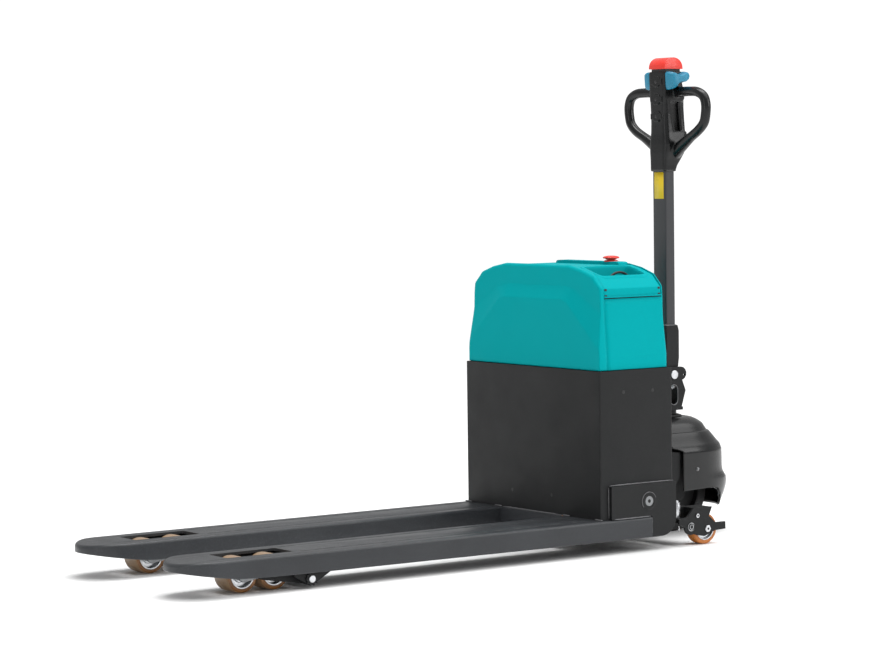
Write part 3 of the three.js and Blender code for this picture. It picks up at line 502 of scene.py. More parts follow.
def fork_piece(name, side):
    centre = side * FORK_CENTRE
    arc = [(FORK_ROUND * (1 - math.cos(a)), FORK_ROUND * (1 - math.sin(a)))
        for a in (0, 0.39, 0.79, 1.18, math.pi / 2)]
    outer = [[(x, y, fork_under(x) + 1.2) for x, y in fork_outline(centre, 0, FORK_HEEL)]]
    for inset, drop in arc:
        outer.append([(x, y, max(fork_crown(x) - drop, fork_under(x) + 2))
            for x, y in fork_outline(centre, inset, FORK_HEEL)])
    inner = [[(x, y, fork_under(x)) for x, y in fork_outline(centre, 1.2, FORK_HEEL)],
        [(x, y, fork_under(x)) for x, y in fork_outline(centre, FORK_SHEET, FORK_HEEL)],
        [(x, y, max(fork_crown(x) - FORK_SHEET, fork_under(x) + 1))
        for x, y in fork_outline(centre, FORK_SHEET, FORK_HEEL)]]
    window = rectangle(-1024, -852, centre - 38, centre + 38, 5, 3)
    bay = rectangle(12, 144, centre - 68, centre + 68, 5, 3)
    grooves = [rectangle(-838, -32, centre + offset - 6, centre + offset + 6, 6, 4) for offset in (-46, 46)]
    top_rings = [fork_outline(centre, FORK_ROUND, FORK_HEEL), window, bay, *grooves]
    roof_rings = [fork_outline(centre, FORK_SHEET, FORK_HEEL), window, bay]
    parts = [loft(outer, closed=False), loft(inner, closed=False), loft([outer[0], inner[0]], closed=False)]
    parts.append(filled(top_rings, lambda x, y: fork_crown(x)))
    parts.append(filled(roof_rings, lambda x, y: max(fork_crown(x) - FORK_SHEET, fork_under(x) + 1)))
    for hole in (window, bay):
        walls = [[(x, y, fork_crown(x) - drop) for x, y in hole] for drop in (0, FORK_SHEET)]
        parts.append(loft(walls, caps=(False, False)))
    for groove, offset in zip(grooves, (-46, 46)):
        middle = centre + offset
        shrunk = [(x + (4 if x < -435 else -4), middle + (y - middle) * 0.45) for x, y in groove]
        parts.append(loft([[(x, y, FORK_TOP) for x, y in groove],
            [(x, y, FORK_TOP - 1.5) for x, y in shrunk]], caps=(False, True)))
    return put(f"fork_skin_{name}", *merged(*parts), "fork_frame", "frame_steel", FORK_STEEL, smooth=38,
        replaces=(f"fork_{name}",))


for side_name, side in SIDES:
    fork_piece(side_name, side)

# ---------------------------------------------------------------- battery box, side plates, welds

box_low, box_high = node_box("battery_box")
outside = rectangle(box_low.x, box_high.x, box_low.y, box_high.y, 4.5, 5)
inside = rectangle(box_low.x + 3, box_high.x - 3, box_low.y + 3, box_high.y - 3, 2, 5)
wall_rings = [[(x, y, z) for x, y in outside] for z in (box_low.z, box_high.z)]
wall_rings.append([(x, y, box_high.z) for x, y in inside])
wall_rings.append([(x, y, 183) for x, y in inside])
skirt_rings = [wall_rings[0], [(x, y, box_low.z) for x, y in inside], [(x, y, 180) for x, y in inside]]
put("box_shell", *merged(loft(wall_rings, caps=(False, True)), loft(skirt_rings, caps=(False, True))),
    "fork_frame", "frame_steel", STEEL, smooth=40, replaces=("battery_box",))


def hole_shade_disc(name, centre, axis, out):
    """A black disc of painted shade standing in for the dark inside of a hole drilled in the box; out is +1
    or -1 along the axis.
    """
    disc = [(0, out * 0.15), (3.9, out * 0.15), (4.4, out * 0.05), (4.4, -out * 0.4), (0, -out * 0.4)]
    put(f"hole_shade_disc_{name}", *lathe(centre, axis, disc, 24), "fork_frame", "black_plastic", BLACK)


# Painted shade discs for the drilled holes in the box front and sides.
for name, y in (("a", -79), ("b", 79)):
    hole_shade_disc(f"front_{name}", (box_low.x, y, 129), "x", -1)
for side_name, side in SIDES:
    for name, x in (("a", 73), ("b", 163)):
        hole_shade_disc(f"{side_name}_{name}", (x, side * BOX_HALF, 387), "y", side)

for side_name, side in SIDES:
    face = side * 279
    heel = [(181 + 45 * math.sin(a), 78 - 45 * math.cos(a)) for a in [math.pi / 20 * i for i in range(11)]]
    outline = rounded([(26, 163), (26, 83.6), (150.6, 83.6), (150.6, 33), *heel, (226, 163)],
        [2, 2, 1, 1] + [0] * 11 + [5], 8)
    put(f"side_plate_skin_{side_name}", *prism(outline, "y", *sorted((side * 268.8, face))), "fork_frame",
        "frame_steel", STEEL, smooth=30, bevel=1.2, replaces=(f"side_plate_{side_name}",))
    ring = [(13.4, 0), (20.6, 0), (21.5, side * 0.2), (21.2, side * 0.9), (20.2, side * 1.3),
        (15, side * 1.3), (13.4, side * 0.9)]
    put(f"boss_ring_{side_name}", *lathe((141, face, 121), "y", ring, 48, True), "fork_frame",
        "frame_steel", STEEL, smooth=30)
    put(f"weld_boss_{side_name}",
        *sweep([(141 + 21.8 * math.cos(a), face + side * 0.4, 121 + 21.8 * math.sin(a))
        for a in [math.radians(20 + 8 * i) for i in range(26)]], lambda t: 0.9 + 0.2 * math.sin(t * 130),
        6), "fork_frame", "frame_steel", WELD)
    head = [(0, -side * 2), (12.3, -side * 2), (12.6, side * 0.3), (11.8, side * 1.1), (4.6, side * 1.1),
        (4.2, side * 0.6), (0, side * 0.2)]
    put(f"rocker_pin_{side_name}", *lathe((141, face + side * 0.1, 121), "y", head, 40), "rocker", "zinc",
        DULL_ZINC, smooth=30)
    lip = side * 269.3
    weld(f"weld_top_{side_name}", [(27, lip, 164.6), (120, lip, 164.6), (224, lip, 164.6)],
        2.1, "fork_frame")
    weld(f"weld_front_{side_name}", [(24.6, lip, 161), (24.6, lip, 86)], 1.0, "fork_frame")
    weld(f"weld_fork_{side_name}", [(34, side * 278.5, 84.2), (147, side * 278.5, 84.2)], 1.5, "fork_frame")
    weld(f"weld_heel_{side_name}", [(150.3, side * 278.6, 80), (150.3, side * 278.6, 38)],
        1.2, "fork_frame")
    for y0 in (121.5, 246.5):
        weld(f"weld_box_{side_name}_{int(y0)}",
            [(-1.6, side * (y0 + 2), 84.6), (-1.6, side * min(y0 + 30, 278), 84.6)], 1.8, "fork_frame")
weld("weld_heel_plate", [(-1.8, -119, 84), (-1.8, 119, 84)], 1.7, "fork_frame")

# ---------------------------------------------------------------- moulded cover

SECTION = [(263.5, 440.3), (263.5, 472), (256, 558), (253, 634), (250, 640), (223, 666),
    (178, 680), (126, 689)]


def section_half(z):
    """Half width of the cover at a height."""
    for (y0, z0), (y1, z1) in zip(SECTION, SECTION[1:]):
        if z <= z1:
            return y0 + (y1 - y0) * (z - z0) / (z1 - z0)
    return SECTION[-1][0]


def between(value, stations):
    """Straight-line interpolation through (position, value) stations."""
    if value <= stations[0][0]:
        return stations[0][1]
    for (p0, v0), (p1, v1) in zip(stations, stations[1:]):
        if value <= p1:
            return v0 + (v1 - v0) * (value - p0) / (p1 - p0)
    return stations[-1][1]


def border_distance(y, z, crown):
    """Distance from a point inside the cover's section to its border, the underside left out."""
    corners = [(a, min(b, crown)) for a, b in SECTION] + [(0, crown)]
    best = 1e9
    p = Vector((abs(y), z))
    for a, b in zip(corners, corners[1:]):
        a, b = Vector(a), Vector(b)
        along = b - a
        t = max(0.0, min(1.0, (p - a).dot(along) / max(along.length_squared, 1e-9)))
        best = min(best, (p - a - along * t).length)
    return best


def arch_face(y, z):
    """x of the front panel before its rim is rounded: a raised arch whose upper edge is one long slope."""
    side = abs(y)
    lower_edge = between(side, ((112, 607), (134, 602), (145, 593), (263.5, 487)))
    upper_edge = between(side, ((118, 638), (146, 634), (158, 627), (263.5, 570)))
    t = max(-0.04, min(1.04, (z - lower_edge) / (upper_edge - lower_edge)))
    soft = t if 0.04 < t < 0.96 else (t + 0.04) ** 2 / 0.16 if t <= 0.04 else 1 - (1.04 - t) ** 2 / 0.16
    return 5.0 + 11.5 * soft


EDGE_STEPS = [0, 0.7, 1.8, 3.2, 5.2, 7.5, 9.5]
crown = 689
levels = {440.3, 472, 558, 634, 640} | {440.3 + 2.6 * i for i in range(92)} | {crown - e for e in EDGE_STEPS}
levels = sorted(levels)
face_rows = []
for z in levels:
    half = section_half(min(z, crown - 0.01))
    inner = half - EDGE_STEPS[-1]
    middle = [-inner + 2 * inner * i / 90 for i in range(1, 90)]
    ys = [-half + e for e in EDGE_STEPS] + middle + [half - e for e in reversed(EDGE_STEPS)]
    rim = between(z, ((612, 2.8), (650, 8.0)))
    row = []
    for y in ys:
        d = min(rim, border_distance(y, z, crown))
        row.append((arch_face(y, z) + rim - math.sqrt(rim ** 2 - (rim - d) ** 2), y, z))
    face_rows.append(row)
border = [row[0] for row in face_rows] + face_rows[-1][1:-1] + [row[-1] for row in reversed(face_rows)]
returned = [[(x, y, z) for x, y, z in border], [(max(x, 22), y, z) for x, y, z in border],
    [(28, y, z) for x, y, z in border]]
put("front_moulding", *merged(loft(face_rows, closed=False), loft(returned, closed=False)), "fork_frame",
    "teal_cover", TEAL, smooth=24, thick=3, replaces=("front_panel",))

REAR = ((440, 219), (472, 219), (558, 212), (634, 208.5), (692, 207))
SEAM_X, LID_REAR = 28.6, 205.0


def shell_row(z):
    """The shell's outline at a height, from front left round the rear to front right."""
    half = section_half(min(z, 688.9)) if z < 689 else 126
    rear = between(z, REAR)
    r = between(z, ((472, 14), (585, 6), (610, 2.5), (636, 1.2)))
    start = SEAM_X if z > 600 else 28.0
    xs = [start + (199 - start) * i / 12
        for i in range(13)] + [between(z, ((585, 203.5), (610, LID_REAR + 0.4)))]
    left = [(x, -half) for x in xs]
    corner = [(rear - r + r * math.sin(a), -half + r - r * math.cos(a))
        for a in [math.pi / 2 * i / 6 for i in range(1, 7)]]
    back = [(rear, -(half - r) + 2 * (half - r) * i / 10) for i in range(1, 10)]
    return [(x, y, z) for x, y in left + corner + back + [(x, -y) for x, y in reversed(left + corner)]]


LOW_ROWS = [440.3, 441.5, 456, 471, 473, 500, 530, 557, 559, 585, 599.9, 600.1, 610.5]
HIGH_ROWS = [610.5, 622, 634.5]
shell = loft([shell_row(z) for z in LOW_ROWS], closed=False)
right = loft([[p for p in shell_row(z) if p[1] > 0 or p[0] > LID_REAR] for z in HIGH_ROWS], closed=False)
put("shell_moulding", *merged(shell, right), "fork_frame", "teal_cover", TEAL, smooth=14, thick=3.5,
    replaces=("cover_shell",))
rear_outline = [(y, z) for y, z in [(-253.6, 610.5)] + [(-a, b) for a, b in SECTION[3:7]] + [(-131, 688)]
    + [(131, 688)] + [(a, b) for a, b in reversed(SECTION[3:7])] + [(253.6, 610.5)]]
put("shell_rear_rim", *prism(rounded(rear_outline, 4, 3), "x", LID_REAR + 0.4, 208), "fork_frame",
    "teal_cover", TEAL, smooth=30, bevel=1)
console = rounded([(-129, 676), (-123, 690.5), (-112, 692), (112, 692), (123, 690.5), (129, 676)],
    [1, 5, 5, 5, 5, 1], 4)
put("shell_console", *prism(console, "x", 178, 207.5), "fork_frame", "teal_cover", TEAL,
    smooth=30, bevel=2.6)
put("flap_shadow_left", *prism(rectangle(29, 204.5, 600, 613, 0.5), "y", -253.6 + 1.2, -250.2),
    "fork_frame", "black_plastic", BLACK)

# ---------------------------------------------------------------- lid with pocket and flap

LID_SECTION = rounded([(-260, 640), (-253.6, 614), (-252.6, 634.4), (-248, 639), (-222, 663.6),
    (-178, 677.4), (-146, 684.2), (146, 684.2), (178, 677.4), (222, 663.6), (248, 639), (253, 636.6),
    (260, 640)], [0, 0.4, 4, 7, 10, 10, 8, 8, 10, 10, 7, 1, 0], 3)[1:-1]


def lid_height(y):
    side = abs(y)
    return between(side, ((146, 684.2), (178, 677.4), (222, 663.6), (248, 639), (253, 634)))


LID_EDGE = [0, 0.5, 1.6, 3.4]
lid_middle = [SEAM_X + 3.4 + (LID_REAR - SEAM_X - 6.8) * i / 24 for i in range(1, 24)]
lid_x = [SEAM_X + e for e in LID_EDGE] + lid_middle + [LID_REAR - e for e in reversed(LID_EDGE)]
POCKET = (47, 186, -220, -146)
dense = []
for (y0, z0), (y1, z1) in zip(LID_SECTION, LID_SECTION[1:]):
    count = max(1, int(math.hypot(y1 - y0, z1 - z0) / 8))
    dense.extend((y0 + (y1 - y0) * i / count, z0 + (z1 - z0) * i / count) for i in range(count))
dense.append(LID_SECTION[-1])
lid_rows = []
for x in lid_x:
    e = min(x - SEAM_X, LID_REAR - x)
    drop = 2.4 * (1 - min(1.0, e / 3.4)) ** 2
    lid_rows.append([(x, y - math.copysign(drop, y) * (abs(y) > 200), z - (drop if z > 638 else 0))
        for y, z in dense])
verts, faces = loft(lid_rows, closed=False)


def in_pocket(face):
    x = sum(verts[i][0] for i in face) / 4
    y = sum(verts[i][1] for i in face) / 4
    return POCKET[0] - 1 < x < POCKET[1] + 1 and POCKET[2] - 1 < y < POCKET[3] + 1


put("lid_moulding", verts, [f for f in faces if not in_pocket(f)], "lid", "teal_cover", TEAL, smooth=30,
    thick=3, replaces=("lid",))
rim_rings = []
for outset, over, depth in ((10, -2.2, None), (9, 0.5, None), (2.2, 0.8, None), (0.2, 0.2, None),
    (-1.2, -2.4, None), (-2, -6, None), (-3.5, 0, 642), (-5.5, 0, 636.5), (-10, 0, 634.4)):
    ring = rectangle(POCKET[0] - outset, POCKET[1] + outset, POCKET[2] - outset, POCKET[3] + outset,
        14 + outset, 6)
    rim_rings.append([(x, y, (lid_height(y) + over) if depth is None else depth) for x, y in ring])
put("lid_pocket", *loft(rim_rings, caps=(False, True)), "lid", "teal_cover", TEAL, smooth=40)

lead_arc = [(135 - 34 * math.cos(math.pi * i / 24), -180, 642.3 + 27 * math.sin(math.pi * i / 24))
    for i in range(25)]
put("lead", *sweep(lead_arc, 3.0, 16), "lid", "black_rubber", RUBBER, replaces=("pocket_lead",))
glands = [lathe((x, -180, 637), "z", [(0, 0), (7, 0), (7, 3), (5.6, 5.5), (4.4, 8.6), (0, 8.6)], 20)
    for x in (101, 169)]
put("lead_glands", *merged(prism(rectangle(88, 182, -192, -168, 5), "z", 634.6, 638), *glands), "lid",
    "black_plastic", BLACK, smooth=30, replaces=("gland_block",))
for name, x in (("front", 34), ("rear", 198)):
    for level, z, y in (("upper", 632, -253.3), ("lower", 617.5, -254.0)):
        put(f"flap_clip_{name}_{level}", *prism(rectangle(x - 3.4, x + 3.4, z - 2.6, z + 2.6, 1), "y", y,
            -250), "lid", "black_plastic", BLACK, bevel=0.3)

stop = (193, -77, 0)
put("stop_collar", *lathe(stop, "z", [(14.6, 691.4), (18, 691.6), (17.4, 693.2), (15.4, 694.6),
    (14.6, 694.4)], 36, True), "fork_frame", "red_plastic", RED, smooth=30)
put("stop_mushroom", *lathe(stop, "z", [(0, 688.5), (8, 688.5), (8, 695), (13.2, 696.2), (14, 698.5),
    (19.5, 699.2), (20.5, 700.5), (20.3, 701.9), (18.5, 703.4), (14, 704.9), (8, 705.8), (0, 706)], 48),
    "stop_button", "red_plastic", RED, smooth=50, replaces=("stop_button",))

# ---------------------------------------------------------------- motor cover

COVER_STATIONS = ((60, 132, 112), (80, 141, 122), (100, 149, 129), (116, 155, 130), (129, 157.5, 130),
    (138, 155, 130), (148, 146, 130), (156, 141, 130), (166, 139.5, 130), (190, 138.8, 130),
    (209, 138, 130), (222, 133, 126), (231, 125, 119), (238, 119, 114.5), (253.6, 105.5, 104.5),
    (255.6, 103, 102.5), (257.2, 98.5, 98), (273, 90, 87), (282, 79, 75), (288, 66, 60), (291, 52, 46),
    (292, 38, 36))
COVER_FRONT = 376.0


def cover_size(z):
    return (between(z, [(s[0], s[1]) for s in COVER_STATIONS]),
        between(z, [(s[0], s[2]) for s in COVER_STATIONS]))


def cover_ring(z, lowest):
    back, half = cover_size(max(z, 60))
    front = between(z, ((216, COVER_FRONT), (222, 342))) if z < 256 else KINGPIN - min(85, back)
    straight = 10
    ring = [(front + (KINGPIN - front) * i / straight, -half) for i in range(straight)]
    for i in range(25):
        a = -math.pi / 2 + math.pi * i / 24
        squareness = 0.86
        c, s = abs(math.cos(a)) ** squareness, math.copysign(abs(math.sin(a)) ** squareness, a)
        ring.append((KINGPIN + back * c, half * s))
    ring += [(x, -y) for x, y in reversed(ring[:straight])]
    out = []
    for x, y in ring:
        under = between(x, ((372, 113), (470, 117), (490, 113), (528, 62), (600, 60)))
        height = max(z, under) if lowest else z
        b2, h2 = cover_size(max(height, 60))
        shrink_x = b2 / back if x > KINGPIN else 1.0
        out.append((KINGPIN + (x - KINGPIN) * shrink_x if x > KINGPIN else x, y * h2 / half, max(z, under)))
    return out


cover_levels = [60, 66, 72, 80, 88, 96, 104, 110, 117.5, 122, 126, 130, 134, 138, 143, 148, 155, 166, 190,
    205, 209, 213, 218, 223, 227, 231, 238, 245, 253.6, 255.6, 257.2, 260, 266, 273, 279, 284,
    288, 290.5, 292]
put("motor_cover_shell", *loft([cover_ring(z, z < 118) for z in cover_levels], closed=False),
    "drive_head", "black_moulding", COVER_BLACK, smooth=24, thick=3, replaces=("motor_cover",))
for side_name, side in SIDES:
    bolt(f"cover_screw_{side_name}", (422, side * 130, 166), "y", side, 7, "drive_head", material=DULL_ZINC)
put("cover_neck_boot", *lathe((KINGPIN, 0, 0), "z", [(29, 290.5), (40, 290.5), (42, 292.4), (40, 294.5),
    (31, 297), (29, 297)], 48, True), "drive_head", "black_rubber", RUBBER)

# ---------------------------------------------------------------- wheels


def wheel(name, centre, r, half, rim, bore, body, tread, hub_material, slots, replaces):
    """A cast tread with rounded shoulders on a turned hub."""
    shoulder = min(6.0, half * 0.3)
    tread_profile = [(rim + 0.4, -half + 0.5), (r - shoulder, -half),
        (r - shoulder * 0.4, -half + shoulder * 0.2), (r - shoulder * 0.1, -half + shoulder * 0.7),
        (r, -half + shoulder * 1.3), (r, half - shoulder * 1.3),
        (r - shoulder * 0.1, half - shoulder * 0.7), (r - shoulder * 0.4, half - shoulder * 0.2),
        (r - shoulder, half), (rim + 0.4, half - 0.5)]
    put(f"{name}_tread", *lathe(centre, "y", tread_profile, 64, True), body, slots[0], tread, smooth=40,
        replaces=(replaces[0],))
    web = half * 0.62
    hub_profile = [(bore, -web), (bore + 2.2, -web - 1.4), (rim * 0.52, -web - 1.2),
        (rim * 0.58, -web + 0.6), (rim - 5.5, -web + 0.6), (rim - 3.6, -half + 1), (rim - 2.8, -half),
        (rim - 0.4, -half), (rim, -half + 0.6), (rim, half - 0.6), (rim - 0.4, half), (rim - 2.8, half),
        (rim - 3.6, half - 1), (rim - 5.5, web - 0.6), (rim * 0.58, web - 0.6), (rim * 0.52, web + 1.2),
        (bore + 2.2, web + 1.4), (bore, web)]
    put(f"{name}_hub", *lathe(centre, "y", hub_profile, 64, True), body, slots[1], hub_material,
        smooth=30, replaces=(replaces[1],))


for side_name, side in SIDES:
    y = side * FORK_CENTRE
    for end, direction in (("front", -1), ("rear", 1)):
        axle_x = BOGIE_X + direction * BOGIE_REACH
        wheel(f"load_{side_name}_{end}", (axle_x, y, LOAD_WHEEL_R), LOAD_WHEEL_R, 31, 30, 10.6,
            f"load_wheel_{side_name}_{end}", BROWN, ZINC, ("amber_tyre", "zinc"),
            (f"load_tyre_{side_name}_{end}", f"load_hub_{side_name}_{end}"))
        for s in (-1, 1):
            put(f"load_nut_{side_name}_{end}_{'in' if s < 0 else 'out'}",
                *lathe((axle_x, y + s * 38.4, LOAD_WHEEL_R), "y",
                [(0, -0.3 * s), (7.5, -0.3 * s), (7.5, s * 0.8), (6.6, s * 1.3), (0, s * 1.3)], 6),
                f"bogie_{side_name}", "zinc", ZINC, smooth=25)
    wheel(f"castor_{side_name}", (CASTOR_X, side * CASTOR_Y, CASTOR_R), CASTOR_R, 15, 28, 7,
        f"castor_{side_name}", AMBER, ZINC, ("amber_tyre", "zinc"),
        (f"castor_tyre_{side_name}", f"castor_hub_{side_name}"))
    dress(f"load_arm_bracket_{side_name}", STEEL, 1.0)
    dress(f"load_arm_{side_name}", STEEL, 0.8)
    dress(f"bogie_{side_name}", DULL_ZINC, 0.7)
    dress(f"push_rod_{side_name}", DULL_ZINC)
    put(f"arm_pin_{side_name}", *lathe((ARM_PIN_X, y + side * 72, ARM_PIN_Z), "y",
        [(0, -side * 1), (8.2, -side * 1), (8.4, side * 0.6), (7.6, side * 1.5), (0, side * 1.5)], 32),
        "fork_frame", "zinc", ZINC, smooth=30)
    ribs = []
    for i in range(10):
        a = 2 * math.pi * i / 10
        x, z = ARM_PIN_X + 13.4 * math.cos(a), ARM_PIN_Z + 13.4 * math.sin(a)
        ribs.append(prism(rectangle(x - 1.8, x + 1.8, z - 1.8, z + 1.8, 0.8, 2), "y",
            *sorted((y + side * 66.5, y + side * 71.4))))
    ring = [(8.6, side * 66.5), (13.4, side * 66.5), (13.4, side * 70.4), (12.4, side * 71.2),
        (8.6, side * 71.2)]
    put(f"arm_boss_{side_name}", *merged(lathe((ARM_PIN_X, y, ARM_PIN_Z), "y", ring, 40, True), *ribs),
        "fork_frame", "frame_steel", STEEL, smooth=30)
wheel("drive", (KINGPIN, 0, 105), 105, 35, 80, 13, "drive_wheel", TREAD, STEEL,
    ("black_tyre", "frame_steel"), ("drive_tyre", "drive_hub"))

# ---------------------------------------------------------------- drive head and castors

for node in ("head_frame", "drive_unit", "lift_cylinder", "oil_tank"):
    dress(node, STEEL, 0.8)
for node in ("drive_motor", "hydraulic_unit"):
    dress(node, MOTOR, 0.8)
dress("steering_bearing", ZINC)
dress("lift_ram", ZINC, 0.6)
dress("battery_pack", CASE, 2.0)
dress("controller", BLACK, 2.0)
dress("heel_plate", FORK_STEEL, 1.6)
dress("rocker", STEEL, 0.6)
for side_name, side in SIDES:
    dress(f"castor_bracket_{side_name}", STEEL, 1.0)
    post = [(0, 68.4), (8.6, 68.4), (9, 69.4), (9, 100), (8, 102), (8, 104), (9, 105), (8.6, 106),
        (5, 106.4), (5, 110.4), (4.4, 111), (0, 111)]
    put(f"spring_post_skin_{side_name}", *lathe((249, side * 252, 0), "z", post, 32), "drive_head",
        "zinc", ZINC, smooth=30, replaces=(f"spring_post_{side_name}",))
    out = side * 277.4
    bolt(f"castor_bolt_a_{side_name}", (294, out, 73), "y", side, 12, "drive_head", washer=False, rise=0.24)
    put(f"castor_nut_b_{side_name}",
        *lathe((274, out, 47), "y", [(0, 0), (10.2, 0), (10.4, side * 1), (8.4, side * 1.2),
        (8.2, side * 2.4), (5, side * 2.7), (4.2, side * 1.6), (0, side * 1.6)], 12), "drive_head",
        "zinc", ZINC, smooth=20)
    put(f"castor_axle_head_{side_name}",
        *lathe((327, out, 38.5), "y", [(0, 0), (9, 0), (9, side * 1.6), (7.8, side * 2.6),
        (3.6, side * 2.6), (3, side * 1.6), (0, side * 1.4)], 6), "drive_head", "zinc", ZINC, smooth=20)
    put(f"bracket_nut_{side_name}", *lathe((255, side * 270, 52), "y",
        [(0, -side * 4), (5, -side * 4), (5, side * 3.4), (4, side * 4.4), (0, side * 4.4)], 6),
        "drive_head", "zinc", DULL_ZINC, smooth=20)
    put(f"grease_nipple_{side_name}", *lathe((243, side * 268, 45), "z",
        [(0, -5), (2.6, -5), (2.6, 1), (1.4, 2), (1.4, 3.6), (2.1, 4.6), (1.4, 6), (0, 6)], 16),
        "drive_head", "zinc", ZINC)

# ---------------------------------------------------------------- tiller foot

dress("tiller_yoke", STEEL, 1.3)
dress("tiller_bracket", STEEL, 1.5)
dress("tiller_pin", ZINC, 0.6)
for side_name, side in SIDES:
    slot_line = [(422 + 12.4 * math.cos(a), side * 40.2, 360 + 12.4 * math.sin(a))
        for a in [math.pi * i / 10 for i in range(11)]]
    slot_line += [(422 - 12.4 * math.cos(a), side * 40.2, 334 - 12.4 * math.sin(a))
        for a in [math.pi * i / 10 for i in range(11)]]
    put(f"yoke_rim_{side_name}", *sweep(slot_line + slot_line[:2], 1.3, 8), "steer_unit",
        "frame_steel", WELD)
    bolt(f"yoke_bolt_{side_name}", (KINGPIN, side * 30, 366), "y", side, 8, "steer_unit", material=ZINC)
foot_ring = [(x, y, 521.6) for x, y in rectangle(410.4, 443.6, -26.8, 26.8, 4, 4)]
put("weld_tube", *sweep(foot_ring + foot_ring[:2], lambda t: 2.3 * (1 + 0.18 * math.sin(t * 260)), 8),
    "tiller", "frame_steel", WELD)

tube = rectangle(412, 442, -25, 25, 4.5, 5)
hollow = rectangle(415, 439, -22, 22, 3, 5)
put("tiller_tube_skin",
    *merged(loft([[(x, y, z) for x, y in tube] for z in (441, 920)], caps=(False, False)),
    loft([[(x, y, z) for x, y in hollow] for z in (441, 920)], caps=(False, False)),
    loft([[(x, y, 441) for x, y in tube], [(x, y, 441) for x, y in hollow]], caps=(False, False)),
    loft([[(x, y, 920) for x, y in tube], [(x, y, 920) for x, y in hollow]], caps=(False, False))),
    "tiller", "black_plastic", TUBE, smooth=40, replaces=("tiller_tube",))
put("tiller_label", *prism(rounded([(-18, 841), (18, 841), (18, 908), (-18, 908)], 1.5, 3), "x", 411.5,
    412.4), "tiller", None, YELLOW)

# ---------------------------------------------------------------- tiller head


def head_ring(z, x0, x1, half, r):
    return [(x, y, z) for x, y in rectangle(x0, x1, -half, half, r, 5)]


FRONT = 406
neck = [head_ring(*row) for row in ((911, 407, 446, 28.5, 6), (913, 406, 447, 29, 7),
    (925, 406, 452, 29.5, 8), (940, 406, 463, 31, 10), (957, 406, 474, 34, 13), (980, 406.5, 480, 36, 15),
    (1007, 408, 484, 33, 15), (1010, 409, 483, 32, 15))]
column = [head_ring(*row) for row in ((985, 407, 462, 35, 17), (1007, 407.5, 447, 33, 16),
    (1030, 407.5, 442, 31.5, 14.5), (1055, 407, 437, 30.5, 13), (1086, 406.5, 432, 31, 11),
    (1110, 406, 436, 31, 9))]
upper = [head_ring(*row) for row in ((1084, 406.5, 470, 30, 9), (1092, 406.2, 476, 31, 8),
    (1110, 406, 474, 31, 7.5), (1130, 406, 468, 31, 7), (1159.5, 406, 467, 31, 6),
    (1160.5, 407, 466, 30, 5))]
post = [head_ring(*row) for row in ((990, 462, 482, 26, 8), (1007, 465, 484, 23, 8),
    (1040, 463, 483, 21, 8), (1070, 460, 481, 21, 8), (1100, 455, 478, 25, 8))]
LOOP = ((449, 14, 1108), (447, 50, 1109), (443, 90, 1109), (440, 118, 1107), (440, 141, 1096),
    (440, 150, 1076), (440, 149, 1052), (440, 142, 1030), (440, 120, 1011), (442, 86, 993),
    (444, 53, 974), (446, 16, 951))
loops = []
for _, side in SIDES:
    path = smooth_path([(x, side * y, z) for x, y, z in LOOP], 6)
    loops.append(sweep(path,
        lambda t: 12.4 + 1.2 * max(0.0, 0.16 - t) / 0.16 + 5.0 * max(0.0, t - 0.8) / 0.2, 20))
head = put("head_moulding", *merged(loft(neck), loft(column), loft(upper), loft(post), *loops), "tiller",
    "black_moulding", GLOSS, replaces=("tiller_head",))
skin = head.modifiers.new("one_skin", "REMESH")
skin.mode = "VOXEL"
skin.voxel_size = 1.7 * MM
skin.use_smooth_shade = True
relax = head.modifiers.new("relax", "SMOOTH")
relax.factor = 0.6
relax.iterations = 7
put("head_collar", *loft([head_ring(909.8, 408.5, 445.5, 27.8, 6), head_ring(911.4, 407.2, 446.8, 29, 7),
    head_ring(913.6, 407.4, 446.6, 28.8, 7)]), "tiller", "black_moulding", GLOSS, smooth=40)
PAD = [(-21.5, -6.5), (-12.5, -7.5), (-7, -13), (7, -13), (12.5, -7.5), (21.5, -6.5), (21.5, 6.5),
    (12.5, 7.5), (7, 13), (-7, 13), (-12.5, 7.5), (-21.5, 6.5)]
for i, z in enumerate((1135, 1091, 1048)):
    wide = [(a * 1.07, z + b * 1.1) for a, b in PAD]
    put(f"button_frame_{i + 1}", *prism(rounded(wide, 1.6, 3), "x", FRONT - 0.7, FRONT + 3), "tiller",
        "black_plastic", BLACK, smooth=30, bevel=0.3)
    pad = [(a, z + b) for a, b in PAD]
    put(f"button_pad_{i + 1}", *prism(rounded(pad, 1.6, 3), "x", FRONT - 2.4, FRONT + 2),
        f"head_button_{i + 1}", "black_moulding", GLOSS, smooth=30, bevel=0.9,
        replaces=(f"head_button_{i + 1}",))
    put(f"button_mark_{i + 1}", *lathe((FRONT - 2.4, 0, z), "x", [(0, -0.35), (4.2, -0.35), (5, 0.3),
        (5, 7), (0, 7)], 24), f"head_button_{i + 1}", "black_plastic", BLACK)
WING = [(408.5, 1155), (413, 1160), (421, 1158), (432, 1153), (446, 1152), (456, 1156), (463, 1160),
    (470, 1158), (473.5, 1150), (471, 1141), (462, 1134), (450, 1131.5), (440, 1132.5), (433, 1130),
    (425.5, 1123), (420.5, 1115.5), (412.5, 1114.5), (410, 1124), (409, 1140)]
wing_parts = []
for _, side in SIDES:
    layers = []
    for y, grow in ((31.8, 1.0), (40, 1.0), (50, 0.94), (56, 0.84), (58, 0.7)):
        layers.append([(440 + (x - 440) * grow, side * y, 1141 + (z - 1141) * grow)
            for x, z in rounded(WING, 3, 3)])
    wing_parts.append(loft(layers))
put("throttle_wings",
    *merged(*wing_parts, lathe((THROTTLE_X, 0, THROTTLE_Z), "y", [(0, -40), (7, -40), (7, 40), (0, 40)],
    24)), "throttle", "blue_plastic", BLUE, smooth=40, bevel=1.6, replaces=("throttle",))

